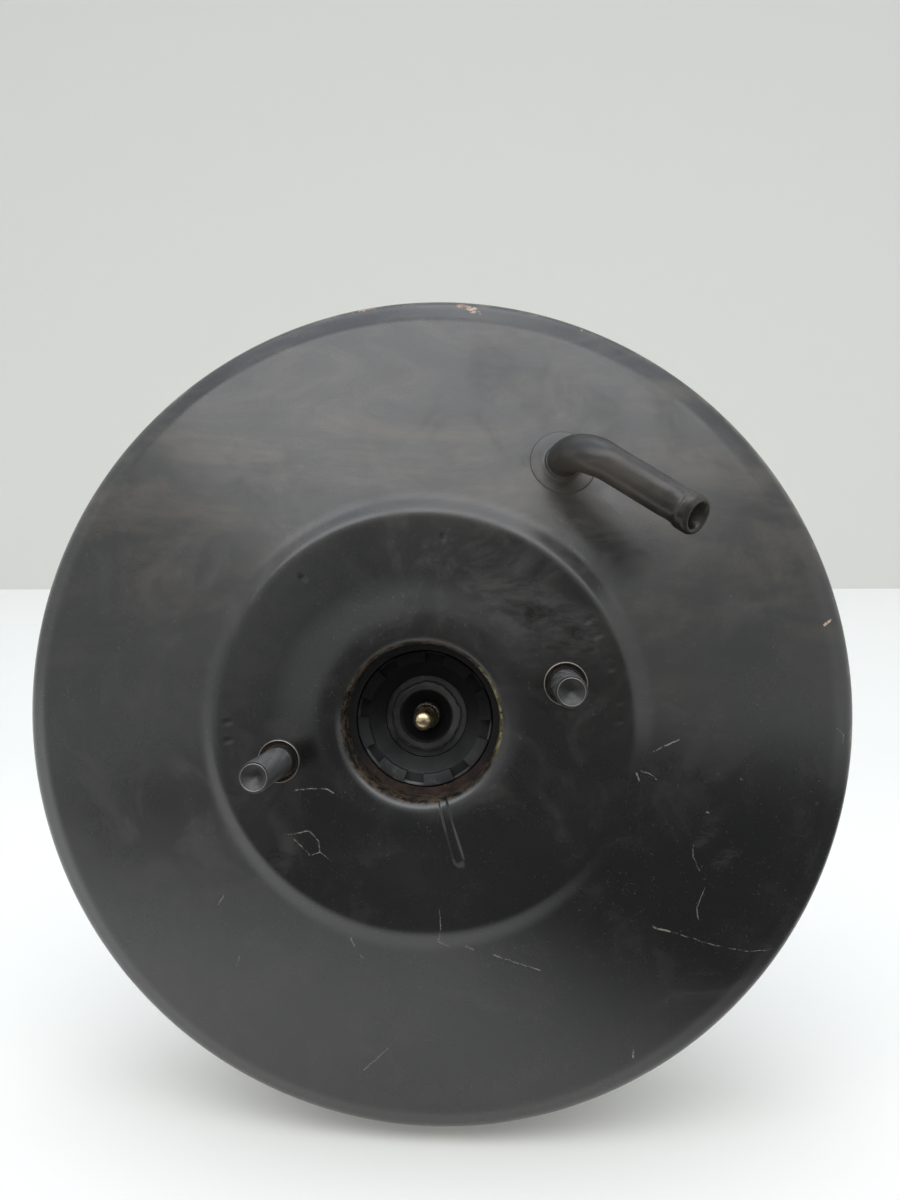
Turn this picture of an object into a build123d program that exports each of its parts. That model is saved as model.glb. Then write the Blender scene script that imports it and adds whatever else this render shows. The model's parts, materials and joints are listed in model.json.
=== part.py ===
from build123d import *
import os
from math import atan2, cos, isclose, pi, radians, sin, sqrt, tan

os.makedirs("parts", exist_ok=True)

# A single-diaphragm vacuum brake booster, in millimetres.
# The booster's axis is Y. The front, where the master cylinder bolts on, faces -Y.
# The bulkhead face is the plane Y = 0, and +Z is up. A station is a place along Y.
# The booster stands rolled about its axis: its own level line rises to the right by `roll`.

# --- Driving dimensions ---
roll = 15.5
body_depth = 100.0  # bulkhead face to the raised disc of the front shell

# Shells
sheet = 1.6
shell_radius = 122.0
disc_radius = 57.0
disc_step = 3.6
disc_step_width = 2.5
cone_drop = 15.4
shoulder_width = 7.5  # between the cone's outer edge and the side wall
shoulder_drop = 4.5
corner_radius = 7.0
pilot_radius = 21.05
pilot_collar_depth = 9.0
lip_radius = 3.0
ridge_bend = 4.0
disc_bend = 2.5
cone_bend = 2.0
shoulder_bend = 10.0
rim_bend = 1.5
mouth_bend = 2.2
ridge_radius = 27.0
ridge_height = 1.4
ridge_foot_radius = 31.0
side_wall = 21.0
mouth_step = 4.5
lug_count = 8
lug_width = 14.0
lug_reach = 3.6
groove_width = 3.2
groove_depth = 0.9
groove_reach = 39.6
rear_cone_drop = 22.0
rear_corner_radius = 10.0
land_radius = 60.0
land_bend = 6.0
neck_radius = 27.0
neck_length = 38.0
neck_lip = 2.6
neck_bend = 3.0
neck_lip_bend = 2.5
gasket = 1.0
gasket_radius = 58.0

# Studs, all M8, and the plates that carry them
stud_radius = 4.0
stud_fit = 0.05
stud_head = 3.5
stud_head_radius = 6.5
stud_root_radius = 4.6  # where it is pressed through its plate
stud_cup_radius = 2.9
stud_cup_depth = 2.0
stud_cup_taper = 20.0
cylinder_stud_pitch = 80.0
cylinder_stud_length = 24.5
stud_collar_radius = 5.6  # flush in the front shell's hole
bulkhead_stud_count = 4
bulkhead_stud_circle = 90.0
bulkhead_stud_start = 45.0  # of the first stud, from the booster's own level line
bulkhead_stud_length = 24.0
front_plate_thickness = 2.5
front_plate_radius = 52.0
seat_slant = 3.0
seat_inner_bend = 1.0
seat_bend = 3.0
rear_plate_thickness = 2.0
rear_plate_radius = 55.0

# Vacuum pipe
pipe_radius = 4.8
pipe_bore_radius = 3.6
pipe_bend_radius = 14.0
pipe_circle_radius = 80.3
pipe_angle = 46.0  # of the pipe's foot, from the booster's own level line
pipe_rise = 15.0
pipe_reach = 36.5
pipe_lift = 8.0
pipe_heading = -49.8  # of the pipe's run, from the booster's own level line
pipe_root = 4.0
pipe_bead = 0.5
pipe_bead_length = 4.6
pipe_bead_chamfer = 0.45
pipe_flange_radius = 9.3
pipe_flange_thickness = 1.2

# Front seal
retainer_nose_radius = 18.8
retainer_flange_radius = 27.5
retainer_flange = 2.0
castellations = 8
castellation_height = 2.5
castellation_width = 3.2
castellation_length = 5.5
seal_cup_radius = 11.6
seal_cup_depth = 3.5
seal_cup_length = 7.0
seal_ring_bore = 7.6
seal_wall = 1.6

# Power piston
stroke = 30.0
running_fit = 0.05
body_gap = 0.3
piston_rest = 14.0  # the valve body flange's rear face, ahead of the bulkhead face
flange_radius = 34.0
flange = 5.0
tail_wall = 3.0
tail_overhang = 18.0
bead_groove_rise = 0.5  # of the bead's groove, above the tail
bead_lip_height = 2.0
bead_lip = 1.8
boss_wall = 1.9  # outside the vacuum passages
boss_length = 19.0
reaction_thickness = 4.0
rod_head = 4.0
rod_radius = 3.75
rod_setback = 16.0  # the shank's end, behind the raised disc's face
tip_radius = 2.9
tip_collar_radius = 3.3
tip_collar = 1.4
tip_setback = 3.5
tip_dome = 1.6
plate_sheet = 1.2
plate_rim = 12.0
fold_space = 28.0  # from the plate's rim out to the shell, for the diaphragm's fold
plate_flat_radius = 42.0
plate_cone_drop = 15.0
plate_flat_bend = 8.0
plate_rim_bend = 6.0
rubber = 1.6
outer_bead = 4.0
outer_bead_width = 3.6
bead_bend = 2.0
inner_bead = 3.0
inner_bead_width = 4.4
fold_depth = 18.0

# Control valve, inside the tail of the valve body
chamber_ahead = 4.0  # the chamber's front wall, ahead of the bulkhead face
seat_width = 1.5
seat_height = 1.8
plunger_radius = 6.0
plunger_travel = 1.2
plunger_head_gap = 2.3  # between the plunger's head and the seat, for air
plunger_head = 4.3
plunger_waist_radius = 4.0
socket_radius = 6.2
ball_radius = 4.2
ball_neck_radius = 2.9
ball_setback = 4.2  # the ball's centre, behind the plunger head's rear face
socket_grip = 2.4  # how far the socket reaches behind the ball's centre
key_thickness = 2.4
key_width = 12.0
key_tail = 8.0
passage_count = 6
passage_radius = 1.7
passage_edge = 0.4  # from the passages out to the chamber's wall
passage_land = 0.7  # from the passages in to the seat and the reaction disc
poppet_bore = 6.9
poppet_overhang = 0.6  # past the seat
poppet_face = 2.3
poppet_sleeve = 10.0
poppet_wall = 1.2
poppet_bead = 4.0
washer_thickness = 1.0
poppet_spring_inset = 2.0  # of the coil's mean radius, inside the sleeve
poppet_spring_wire = 1.0
poppet_spring_turns = 4
poppet_cup_sheet = 1.0
poppet_cup_bore = 8.2
poppet_cup_length = 10.0
poppet_cup_bend = 1.5
input_spring_radius = 10.6
input_spring_wire = 1.6
input_spring_length = 31.0
input_spring_turns = 6
return_spring_radius = 24.0
return_spring_wire = 4.0
return_spring_turns = 6
filter_length = 12.0
filter_wall = 7.45
silencer_length = 6.0
cap_thickness = 1.6

# Input rod, lock nut and clevis
rod_neck_radius = 4.0
input_rod_radius = 5.0
input_rod_chamfer = 0.8
collar_thickness = 1.6
collar_radius = 12.4
nut_width = 16.0
nut_thickness = 6.0
nut_clearance = 14.0  # from the boot's cap to the lock nut
clevis_gap = 12.0
clevis_ear = 4.0
clevis_height = 18.0
clevis_boss = 12.0
clevis_bridge = 5.0
clevis_reach = 13.0
pin_radius = 4.0
pin_head = 2.0
pin_head_radius = 6.0
pin_tail = 4.0
clip_thickness = 0.8
clip_radius = 6.0
clip_groove_radius = 3.2
clip_mouth = 5.1

# Neck and dust boot
bearing_wall = 5.8
bearing_length = 8.0
rear_seal_length = 7.0
boot_wall = 1.4
boot_overlap = 8.0
boot_folds = 4
boot_clearance = 1.7  # from the tail out to the folds
boot_fold_depth = 7.0
boot_grip = 5.0
boot_bend = 1.7
boot_holes = 6
boot_hole_radius = 1.8

# --- Stations and radii that follow ---
front_face = -body_depth
shell_face = -gasket
cone_radius = shell_radius - shoulder_width
joint_front = front_face + disc_step + cone_drop + shoulder_drop + side_wall
mouth_radius = shell_radius + mouth_step
mouth_bore = mouth_radius - sheet
mouth_floor = joint_front + sheet
rear_rim_front = mouth_floor + outer_bead
rear_rim_back = rear_rim_front + sheet
rear_wall_radius = shell_radius - 2 * sheet - body_gap
shell_floor = shell_face - sheet
rear_plate_front = shell_floor - rear_plate_thickness
neck_bore = neck_radius - sheet
neck_stop = neck_length - sheet
rear_seal_front = neck_stop - rear_seal_length
bearing_front = rear_seal_front - bearing_length

disc_back = front_face + sheet
front_plate_back = disc_back + front_plate_thickness
seat_plate_front = front_face + pilot_collar_depth
seat_plate_back = seat_plate_front + front_plate_thickness
retainer_back = seat_plate_back + retainer_flange
seal_cup_front = seat_plate_back + seal_cup_depth
seal_cup_back = seal_cup_front + seal_cup_length

tail_radius = neck_bore - bearing_wall - 2 * running_fit
chamber_radius = tail_radius - tail_wall
filter_outer_radius = chamber_radius - running_fit
filter_bore = filter_outer_radius - filter_wall
passage_circle_radius = chamber_radius - passage_edge - passage_radius
seat_radius = passage_circle_radius - passage_radius - passage_land
reaction_radius = seat_radius
boss_radius = passage_circle_radius + passage_radius + boss_wall
bead_groove_radius = tail_radius + bead_groove_rise
bead_lip_radius = bead_groove_radius + bead_lip_height
tail_end = neck_length + stroke + tail_overhang
piston_back = -piston_rest
piston_front = piston_back - flange
bead_groove_back = piston_back + plate_sheet + inner_bead
bead_lip_back = bead_groove_back + bead_lip
boss_front = piston_front - boss_length
rod_head_back = boss_front + rod_head
reaction_back = rod_head_back + reaction_thickness
rod_end = front_face + rod_setback
tip_end = front_face + tip_setback
plate_rim_radius = shell_radius - fold_space
plate_rim_start = piston_back - plate_cone_drop
plate_rim_end = plate_rim_start - plate_rim

chamber_front = -chamber_ahead
seat_back = chamber_front + seat_height
seat_bore = seat_radius - seat_width
plunger_head_radius = seat_bore - plunger_head_gap
pocket_front = seat_back - plunger_head - plunger_travel - body_gap
plunger_front = reaction_back + plunger_travel + body_gap
key_middle = piston_back + plate_sheet + inner_bead / 2
key_front = key_middle - key_thickness / 2
key_back = key_middle + key_thickness / 2
ball_station = seat_back + ball_setback
socket_end = ball_station + socket_grip
poppet_radius = seat_radius + poppet_overhang
sleeve_bore = poppet_radius - poppet_wall
poppet_spring_radius = sleeve_bore - poppet_spring_inset
poppet_front = seat_back + body_gap
poppet_back = poppet_front + poppet_face
poppet_bead_front = poppet_back + poppet_sleeve
poppet_cup_front = poppet_bead_front + poppet_bead
input_spring_front = poppet_cup_front + poppet_cup_sheet
collar_front = input_spring_front + input_spring_length
collar_back = collar_front + collar_thickness
cap_front = tail_end - cap_thickness
filter_front = cap_front - filter_length
silencer_front = filter_front - silencer_length

boot_fold_radius = tail_radius + boot_wall + boot_clearance
boot_crest_radius = boot_fold_radius + boot_fold_depth
boot_end = tail_end + body_gap + boot_wall
nut_front = boot_end + nut_clearance
clevis_front = nut_front + nut_thickness
clevis_bridge_front = clevis_front + clevis_boss - clevis_bridge
fork_front = clevis_front + clevis_boss
pin_station = fork_front + clevis_reach
clevis_width = clevis_gap + 2 * clevis_ear


def across(station):
    """Plane across the booster at a station, facing the front, level with the booster's own line."""
    level = (cos(radians(roll)), 0, sin(radians(roll)))
    return Plane(origin=(0, station, 0), x_dir=level, z_dir=(0, -1, 0))


def along_level(offset):
    """Plane square to the booster's own level line, `offset` along it, with Y as its first axis."""
    level = Vector(cos(radians(roll)), 0, sin(radians(roll)))
    return Plane(origin=level * offset, x_dir=(0, 1, 0), z_dir=level)


def half_section(points):
    """Closed outline of (radius, station) points, to be turned about the Y axis."""
    with BuildSketch(Plane.XY) as outline:
        with BuildLine():
            Polyline(*points, close=True)
        make_face()
    return outline.sketch


def ring_section(inner, outer, front, back):
    """Rectangle between two radii and two stations, to be turned about the Y axis."""
    return half_section([(inner, front), (outer, front), (outer, back), (inner, back)])


def sheet_section(points, bends, thickness):
    """Outline of bent sheet whose outer surface runs through (radius, station) points."""
    with BuildSketch(Plane.XY) as outline:
        with BuildLine():
            FilletPolyline(*points, radius=bends)
            offset(amount=thickness, side=Side.LEFT)
        make_face()
    return outline.sketch


def coil(radius, wire, turns, front, back):
    """Coil spring of round wire that just fits between two stations."""
    height = back - front - wire - 2 * body_gap
    path = Helix(
        pitch=height / turns,
        height=height,
        radius=radius,
        center=(0, front + wire / 2 + body_gap, 0),
        direction=(0, 1, 0),
    )
    with BuildPart() as spring:
        with BuildSketch(Plane(origin=path @ 0, z_dir=path % 0)):
            Circle(wire / 2)
        sweep(path=path, is_frenet=True)
    return spring.part


# --- Places of the front shell's cone and of the vacuum pipe that rises from it ---
cone_start = disc_radius + disc_step_width
cone_front = front_face + disc_step
shoulder_front = cone_front + cone_drop
cone_slope = atan2(cone_drop, cone_radius - cone_start)
pipe_foot_station = cone_front + (pipe_circle_radius - cone_start) * tan(cone_slope)
foot_angle = radians(pipe_angle + roll)
run_angle = radians(pipe_heading + roll)
outward = Vector(cos(foot_angle), 0, sin(foot_angle))
pipe_foot = outward * pipe_circle_radius + Vector(0, pipe_foot_station, 0)
pipe_up = outward * sin(cone_slope) - Vector(0, cos(cone_slope), 0)
pipe_corner = pipe_foot + pipe_up * pipe_rise
pipe_run = Vector(cos(run_angle) * pipe_reach, -pipe_lift, sin(run_angle) * pipe_reach)
foot_plane = Plane(origin=pipe_foot, x_dir=pipe_up.cross(Vector(0, 1, 0)), z_dir=pipe_up)
pipe_end_plane = Plane(origin=pipe_corner + pipe_run, z_dir=pipe_run)

# --- Front shell: pressed steel with the pilot hole, raised disc, cone and mouth ---
front_outline = [
    (pilot_radius, seat_plate_front),
    (pilot_radius, front_face - ridge_height),
    (ridge_radius, front_face - ridge_height),
    (ridge_foot_radius, front_face),
    (disc_radius, front_face),
    (cone_start, cone_front),
    (cone_radius, shoulder_front),
    (shell_radius, shoulder_front + shoulder_drop),
    (shell_radius, joint_front),
    (mouth_radius, joint_front),
    (mouth_radius, rear_rim_back + sheet),
]
front_bends = [
    lip_radius,
    ridge_bend,
    ridge_bend,
    disc_bend,
    cone_bend,
    shoulder_bend,
    corner_radius,
    rim_bend,
    mouth_bend,
]

with BuildPart() as front_shell:
    revolve(sheet_section(front_outline, front_bends, sheet), axis=Axis.Y)
    # The lugs that are bent in behind the rear shell's rim
    with BuildSketch(across(rear_rim_back)):
        with PolarLocations(mouth_bore - lug_reach, lug_count):
            Rectangle(lug_reach + sheet / 2, lug_width, align=(Align.MIN, Align.CENTER))
    extrude(amount=-sheet)
    # The drain groove, whose floor is pressed back behind the ridge
    with BuildSketch(across(front_face)):
        with Locations((0, -pilot_radius - sheet / 2)):
            Rectangle(
                groove_width + 2 * sheet,
                ridge_foot_radius - pilot_radius - sheet,
                align=(Align.CENTER, Align.MAX),
            )
    extrude(amount=-groove_depth - sheet)
    with BuildSketch(across(front_face + groove_depth)):
        with Locations((0, -(pilot_radius + groove_reach) / 2)):
            SlotOverall(groove_reach - pilot_radius + groove_width, groove_width, rotation=90)
    extrude(amount=groove_depth + ridge_height + sheet, mode=Mode.SUBTRACT)
    # The holes for the studs and the vacuum pipe
    with BuildSketch(across(disc_back)):
        with PolarLocations(cylinder_stud_pitch / 2, 2):
            Circle(stud_collar_radius + stud_fit)
    extrude(amount=sheet * 2, both=True, mode=Mode.SUBTRACT)
    with BuildSketch(foot_plane):
        Circle(pipe_radius + stud_fit)
    extrude(amount=pipe_root, both=True, mode=Mode.SUBTRACT)
front_shell.part.label = "front_shell"

# --- Front plate: stiffens the disc, carries the front studs and seats the front seal ---
front_plate_outline = [
    (retainer_nose_radius + body_gap, seat_plate_front),
    (ridge_foot_radius + body_gap - seat_slant, seat_plate_front),
    (ridge_foot_radius + body_gap, disc_back),
    (front_plate_radius, disc_back),
]

with BuildPart() as front_plate:
    revolve(
        sheet_section(front_plate_outline, [seat_inner_bend, seat_bend], front_plate_thickness),
        axis=Axis.Y,
    )
    with BuildSketch(across(disc_back)):
        with PolarLocations(cylinder_stud_pitch / 2, 2):
            Circle(stud_root_radius + stud_fit)
    extrude(amount=-front_plate_thickness * 2, mode=Mode.SUBTRACT)
front_plate.part.label = "front_plate"


# --- Vacuum pipe and its round flange ---
with BuildPart() as vacuum_pipe:
    with BuildLine() as pipe_route:
        FilletPolyline(
            pipe_foot - pipe_up * pipe_root,
            pipe_corner,
            pipe_corner + pipe_run,
            radius=pipe_bend_radius,
        )
    with BuildSketch(Plane(origin=pipe_route.line @ 0, z_dir=pipe_route.line % 0)):
        Circle(pipe_radius)
        Circle(pipe_bore_radius, mode=Mode.SUBTRACT)
    sweep(path=pipe_route.line)
    with BuildSketch(pipe_end_plane):
        Circle(pipe_radius + pipe_bead)
        Circle(pipe_bore_radius, mode=Mode.SUBTRACT)
    extrude(amount=-pipe_bead_length)
    round_edges = vacuum_pipe.edges().filter_by(GeomType.CIRCLE)
    bead_edges = round_edges.filter_by(lambda edge: isclose(edge.radius, pipe_radius + pipe_bead))
    chamfer(bead_edges, length=pipe_bead_chamfer)
vacuum_pipe.part.label = "vacuum_pipe"

with BuildPart() as pipe_flange:
    with BuildSketch(foot_plane):
        Circle(pipe_flange_radius)
        Circle(pipe_radius + stud_fit, mode=Mode.SUBTRACT)
    extrude(amount=pipe_flange_thickness)
pipe_flange.part.label = "pipe_flange"

# --- Front seal: a castellated plastic retainer that holds a rubber cup round the output rod ---
cup_entry_radius = retainer_nose_radius - castellation_width

with BuildPart() as seal_retainer:
    retainer_profile = [
        (seal_cup_radius, seal_cup_front),
        (cup_entry_radius, seat_plate_back),
        (retainer_flange_radius, seat_plate_back),
        (retainer_flange_radius, retainer_back),
        (seal_cup_radius + seal_wall * 2, retainer_back),
        (seal_cup_radius + seal_wall * 2, seal_cup_back),
        (seal_cup_radius, seal_cup_back),
    ]
    revolve(half_section(retainer_profile), axis=Axis.Y)
    with BuildSketch(across(seat_plate_back)):
        Circle(retainer_nose_radius)
        Circle(cup_entry_radius, mode=Mode.SUBTRACT)
        with PolarLocations(0, castellations, start_angle=180 / castellations):
            Rectangle(
                retainer_nose_radius + castellation_width,
                castellation_length,
                align=(Align.MIN, Align.CENTER),
                mode=Mode.SUBTRACT,
            )
    extrude(amount=castellation_height)
seal_retainer.part.label = "seal_retainer"

with BuildPart() as front_seal:
    seal_profile = [
        (seal_ring_bore, seal_cup_front),
        (seal_cup_radius, seal_cup_front),
        (seal_cup_radius, seal_cup_back),
        (seal_cup_radius - seal_wall, seal_cup_back),
        (seal_cup_radius - seal_wall, seal_cup_front + 2 * seal_wall),
        (rod_radius + running_fit, seal_cup_back),
        (rod_radius + running_fit, seal_cup_back - seal_wall),
        (seal_ring_bore, seal_cup_front + seal_wall),
    ]
    revolve(half_section(seal_profile), axis=Axis.Y)
front_seal.part.label = "front_seal"

# --- Rear shell: dished steel with the bulkhead land and the neck ---
neck_hole = neck_bore - neck_lip
rear_outline = [
    (mouth_bore - body_gap, rear_rim_back),
    (rear_wall_radius, rear_rim_back),
    (rear_wall_radius, shell_face - rear_cone_drop),
    (land_radius, shell_face),
    (neck_radius, shell_face),
    (neck_radius, neck_length),
    (neck_hole, neck_length),
]
rear_bends = [rim_bend, rear_corner_radius, land_bend, neck_bend, neck_lip_bend]

with BuildPart() as rear_shell:
    revolve(sheet_section(rear_outline, rear_bends, sheet), axis=Axis.Y)
    with BuildSketch(across(shell_face)):
        with PolarLocations(bulkhead_stud_circle / 2, bulkhead_stud_count, bulkhead_stud_start):
            Circle(stud_root_radius + stud_fit)
    extrude(amount=sheet * 2, both=True, mode=Mode.SUBTRACT)
rear_shell.part.label = "rear_shell"

with BuildPart() as rear_plate:
    with BuildSketch(across(shell_floor)):
        Circle(rear_plate_radius)
        Circle(neck_radius + 3 * sheet, mode=Mode.SUBTRACT)
        with PolarLocations(bulkhead_stud_circle / 2, bulkhead_stud_count, bulkhead_stud_start):
            Circle(stud_root_radius + stud_fit, mode=Mode.SUBTRACT)
    extrude(amount=rear_plate_thickness)
rear_plate.part.label = "rear_plate"

with BuildPart() as bulkhead_gasket:
    with BuildSketch(across(0)):
        Circle(gasket_radius)
        Circle(neck_radius + 2 * sheet, mode=Mode.SUBTRACT)
        with PolarLocations(bulkhead_stud_circle / 2, bulkhead_stud_count, bulkhead_stud_start):
            Circle(stud_root_radius + stud_fit, mode=Mode.SUBTRACT)
    extrude(amount=gasket)
bulkhead_gasket.part.label = "bulkhead_gasket"

# --- Studs: heads inside the plates, cupped tips outside ---
with BuildPart() as cylinder_studs:
    with BuildSketch(across(front_plate_back + stud_head)):
        with PolarLocations(cylinder_stud_pitch / 2, 2):
            Circle(stud_head_radius)
    extrude(amount=stud_head)
    with BuildSketch(across(front_plate_back)):
        with PolarLocations(cylinder_stud_pitch / 2, 2):
            Circle(stud_root_radius)
    extrude(amount=front_plate_thickness)
    with BuildSketch(across(disc_back)):
        with PolarLocations(cylinder_stud_pitch / 2, 2):
            Circle(stud_collar_radius)
    extrude(amount=sheet)
    with BuildSketch(across(front_face)):
        with PolarLocations(cylinder_stud_pitch / 2, 2):
            Circle(stud_radius)
    extrude(amount=cylinder_stud_length)
    with BuildSketch(across(front_face - cylinder_stud_length)):
        with PolarLocations(cylinder_stud_pitch / 2, 2):
            Circle(stud_cup_radius)
    extrude(amount=-stud_cup_depth, taper=stud_cup_taper, mode=Mode.SUBTRACT)
cylinder_studs.part.label = "cylinder_studs"

with BuildPart() as bulkhead_studs:
    with BuildSketch(across(rear_plate_front)):
        with PolarLocations(bulkhead_stud_circle / 2, bulkhead_stud_count, bulkhead_stud_start):
            Circle(stud_head_radius)
    extrude(amount=stud_head)
    with BuildSketch(across(0)):
        with PolarLocations(bulkhead_stud_circle / 2, bulkhead_stud_count, bulkhead_stud_start):
            Circle(stud_root_radius)
    extrude(amount=-rear_plate_front)
    with BuildSketch(across(bulkhead_stud_length)):
        with PolarLocations(bulkhead_stud_circle / 2, bulkhead_stud_count, bulkhead_stud_start):
            Circle(stud_radius)
    extrude(amount=bulkhead_stud_length)
    with BuildSketch(across(bulkhead_stud_length)):
        with PolarLocations(bulkhead_stud_circle / 2, bulkhead_stud_count, bulkhead_stud_start):
            Circle(stud_cup_radius)
    extrude(amount=stud_cup_depth, taper=stud_cup_taper, mode=Mode.SUBTRACT)
bulkhead_studs.part.label = "bulkhead_studs"

# --- Neck: the bearing ring and the seal that the valve body's tail slides in ---
with BuildPart() as rear_seal:
    revolve(
        ring_section(tail_radius + running_fit, neck_bore - running_fit, rear_seal_front, neck_stop),
        axis=Axis.Y,
    )
    chamfer(rear_seal.edges().group_by(Axis.Y)[-1].sort_by(SortBy.RADIUS)[-1], length=sheet)
rear_seal.part.label = "rear_seal"

with BuildPart() as rear_bearing:
    revolve(
        ring_section(tail_radius + running_fit, neck_bore - running_fit, bearing_front, rear_seal_front),
        axis=Axis.Y,
    )
rear_bearing.part.label = "rear_bearing"

# --- Valve body: the moulded power piston with its boss, flange and hollow tail ---
reaction_bore = reaction_radius + running_fit
plunger_bore = plunger_radius + running_fit
body_profile = [
    (reaction_bore, boss_front),
    (boss_radius, boss_front),
    (boss_radius, piston_front),
    (flange_radius, piston_front),
    (flange_radius, piston_back),
    (bead_groove_radius, piston_back),
    (bead_groove_radius, bead_groove_back),
    (bead_lip_radius, bead_groove_back),
    (bead_lip_radius, bead_lip_back),
    (tail_radius, bead_lip_back),
    (tail_radius, tail_end),
    (chamber_radius, tail_end),
    (chamber_radius, chamber_front),
    (seat_radius, chamber_front),
    (seat_radius, seat_back),
    (seat_bore, seat_back),
    (seat_bore, pocket_front),
    (plunger_bore, pocket_front),
    (plunger_bore, reaction_back),
    (reaction_bore, reaction_back),
]

with BuildPart() as valve_body:
    revolve(half_section(body_profile), axis=Axis.Y)
    # The vacuum passages, from the chamber to the front of the boss
    with BuildSketch(across(chamber_front)):
        with PolarLocations(passage_circle_radius, passage_count):
            Circle(passage_radius)
    extrude(amount=chamber_front - boss_front, mode=Mode.SUBTRACT)
    # The slot for the stop key, open under the diaphragm's inner bead
    with BuildSketch(across(key_back + running_fit)):
        with Locations((0, -key_tail - running_fit)):
            Rectangle(
                key_width + 2 * running_fit,
                bead_groove_radius + key_tail + body_gap,
                align=(Align.CENTER, Align.MIN),
            )
    extrude(amount=key_thickness + 2 * running_fit, mode=Mode.SUBTRACT)
valve_body.part.label = "valve_body"

# --- Output side: reaction disc, output rod and its adjusting tip ---
with BuildPart() as reaction_disc:
    revolve(ring_section(0, reaction_radius - running_fit, rod_head_back, reaction_back), axis=Axis.Y)
reaction_disc.part.label = "reaction_disc"

with BuildPart() as output_rod:
    rod_profile = [
        (0, rod_end),
        (tip_radius - running_fit, rod_end),
        (rod_radius, rod_end + rod_radius - tip_radius),
        (rod_radius, boss_front),
        (reaction_radius, boss_front),
        (reaction_radius, rod_head_back),
        (0, rod_head_back),
    ]
    revolve(half_section(rod_profile), axis=Axis.Y)
output_rod.part.label = "output_rod"

with BuildPart() as rod_tip:
    tip_profile = [
        (0, tip_end),
        (tip_radius - tip_dome / 2, tip_end),
        (tip_radius, tip_end + tip_dome),
        (tip_radius, rod_end - tip_collar),
        (tip_collar_radius, rod_end - tip_collar),
        (tip_collar_radius, rod_end),
        (0, rod_end),
    ]
    revolve(half_section(tip_profile), axis=Axis.Y)
    fillet(rod_tip.edges().group_by(Axis.Y)[0], radius=tip_dome / 2)
rod_tip.part.label = "rod_tip"

# --- Diaphragm plate and diaphragm ---
plate_bore = bead_lip_radius + body_gap
plate_outline = [
    (plate_bore, piston_back),
    (plate_flat_radius, piston_back),
    (plate_rim_radius, plate_rim_start),
    (plate_rim_radius, plate_rim_end),
]

with BuildPart() as diaphragm_plate:
    revolve(sheet_section(plate_outline, [plate_flat_bend, plate_rim_bend], plate_sheet), axis=Axis.Y)
diaphragm_plate.part.label = "diaphragm_plate"

plate_slope = atan2(plate_cone_drop, plate_rim_radius - plate_flat_radius)
fold_inner_radius = plate_rim_radius + plate_sheet
fold_outer_radius = shell_radius - sheet - body_gap
fold_front = mouth_floor - fold_depth
fold_bend = (fold_outer_radius - fold_inner_radius) / 2 - body_gap
diaphragm_outline = [
    (bead_groove_radius, piston_back + plate_sheet),
    (plate_flat_radius + plate_sheet * tan(plate_slope / 2), piston_back + plate_sheet),
    (fold_inner_radius, plate_rim_start + plate_sheet * tan(pi / 4 - plate_slope / 2)),
    (fold_inner_radius, fold_front),
    (fold_outer_radius, fold_front),
    (fold_outer_radius, mouth_floor),
    (mouth_bore - body_gap - sheet, mouth_floor),
]

diaphragm_bends = [plate_flat_bend, plate_rim_bend, fold_bend, fold_bend, bead_bend]

with BuildPart() as diaphragm:
    revolve(sheet_section(diaphragm_outline, diaphragm_bends, rubber), axis=Axis.Y)
    revolve(
        ring_section(
            bead_groove_radius,
            bead_groove_radius + inner_bead_width,
            piston_back + plate_sheet,
            bead_groove_back,
        ),
        axis=Axis.Y,
    )
    bead_outer_radius = mouth_bore - sheet / 2
    revolve(
        ring_section(bead_outer_radius - outer_bead_width, bead_outer_radius, mouth_floor, rear_rim_front),
        axis=Axis.Y,
    )
diaphragm.part.label = "diaphragm"

# --- Control valve: plunger, stop key, poppet and its cup ---
with BuildPart() as plunger:
    plunger_profile = [
        (0, plunger_front),
        (plunger_radius, plunger_front),
        (plunger_radius, key_front - body_gap),
        (plunger_waist_radius, key_front - body_gap),
        (plunger_waist_radius, key_back + plunger_travel + body_gap),
        (plunger_radius, key_back + plunger_travel + body_gap),
        (plunger_radius, seat_back - plunger_head),
        (plunger_head_radius, seat_back - plunger_head),
        (plunger_head_radius, seat_back),
        (socket_radius, seat_back),
        (socket_radius, socket_end),
        (0, socket_end),
    ]
    revolve(half_section(plunger_profile), axis=Axis.Y)
    with Locations((0, ball_station, 0)):
        Sphere(ball_radius + running_fit, mode=Mode.SUBTRACT)
plunger.part.label = "plunger"

with BuildPart() as stop_key:
    key_top = sqrt(bead_groove_radius**2 - (key_width / 2) ** 2) - running_fit
    with BuildSketch(across(key_back)):
        with Locations((0, -key_tail)):
            Rectangle(key_width, key_top + key_tail, align=(Align.CENTER, Align.MIN))
        with Locations((0, -key_tail)):
            Rectangle(
                2 * (plunger_waist_radius + running_fit),
                key_tail,
                align=(Align.CENTER, Align.MIN),
                mode=Mode.SUBTRACT,
            )
        Circle(plunger_waist_radius + running_fit, mode=Mode.SUBTRACT)
    extrude(amount=key_thickness)
stop_key.part.label = "stop_key"

with BuildPart() as poppet:
    poppet_profile = [
        (poppet_bore, poppet_front),
        (poppet_radius, poppet_front),
        (poppet_radius, poppet_bead_front - poppet_wall),
        (chamber_radius - running_fit, poppet_bead_front),
        (chamber_radius - running_fit, poppet_cup_front),
        (sleeve_bore, poppet_cup_front),
        (sleeve_bore, poppet_back),
        (poppet_bore, poppet_back),
    ]
    revolve(half_section(poppet_profile), axis=Axis.Y)
poppet.part.label = "poppet"

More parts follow.
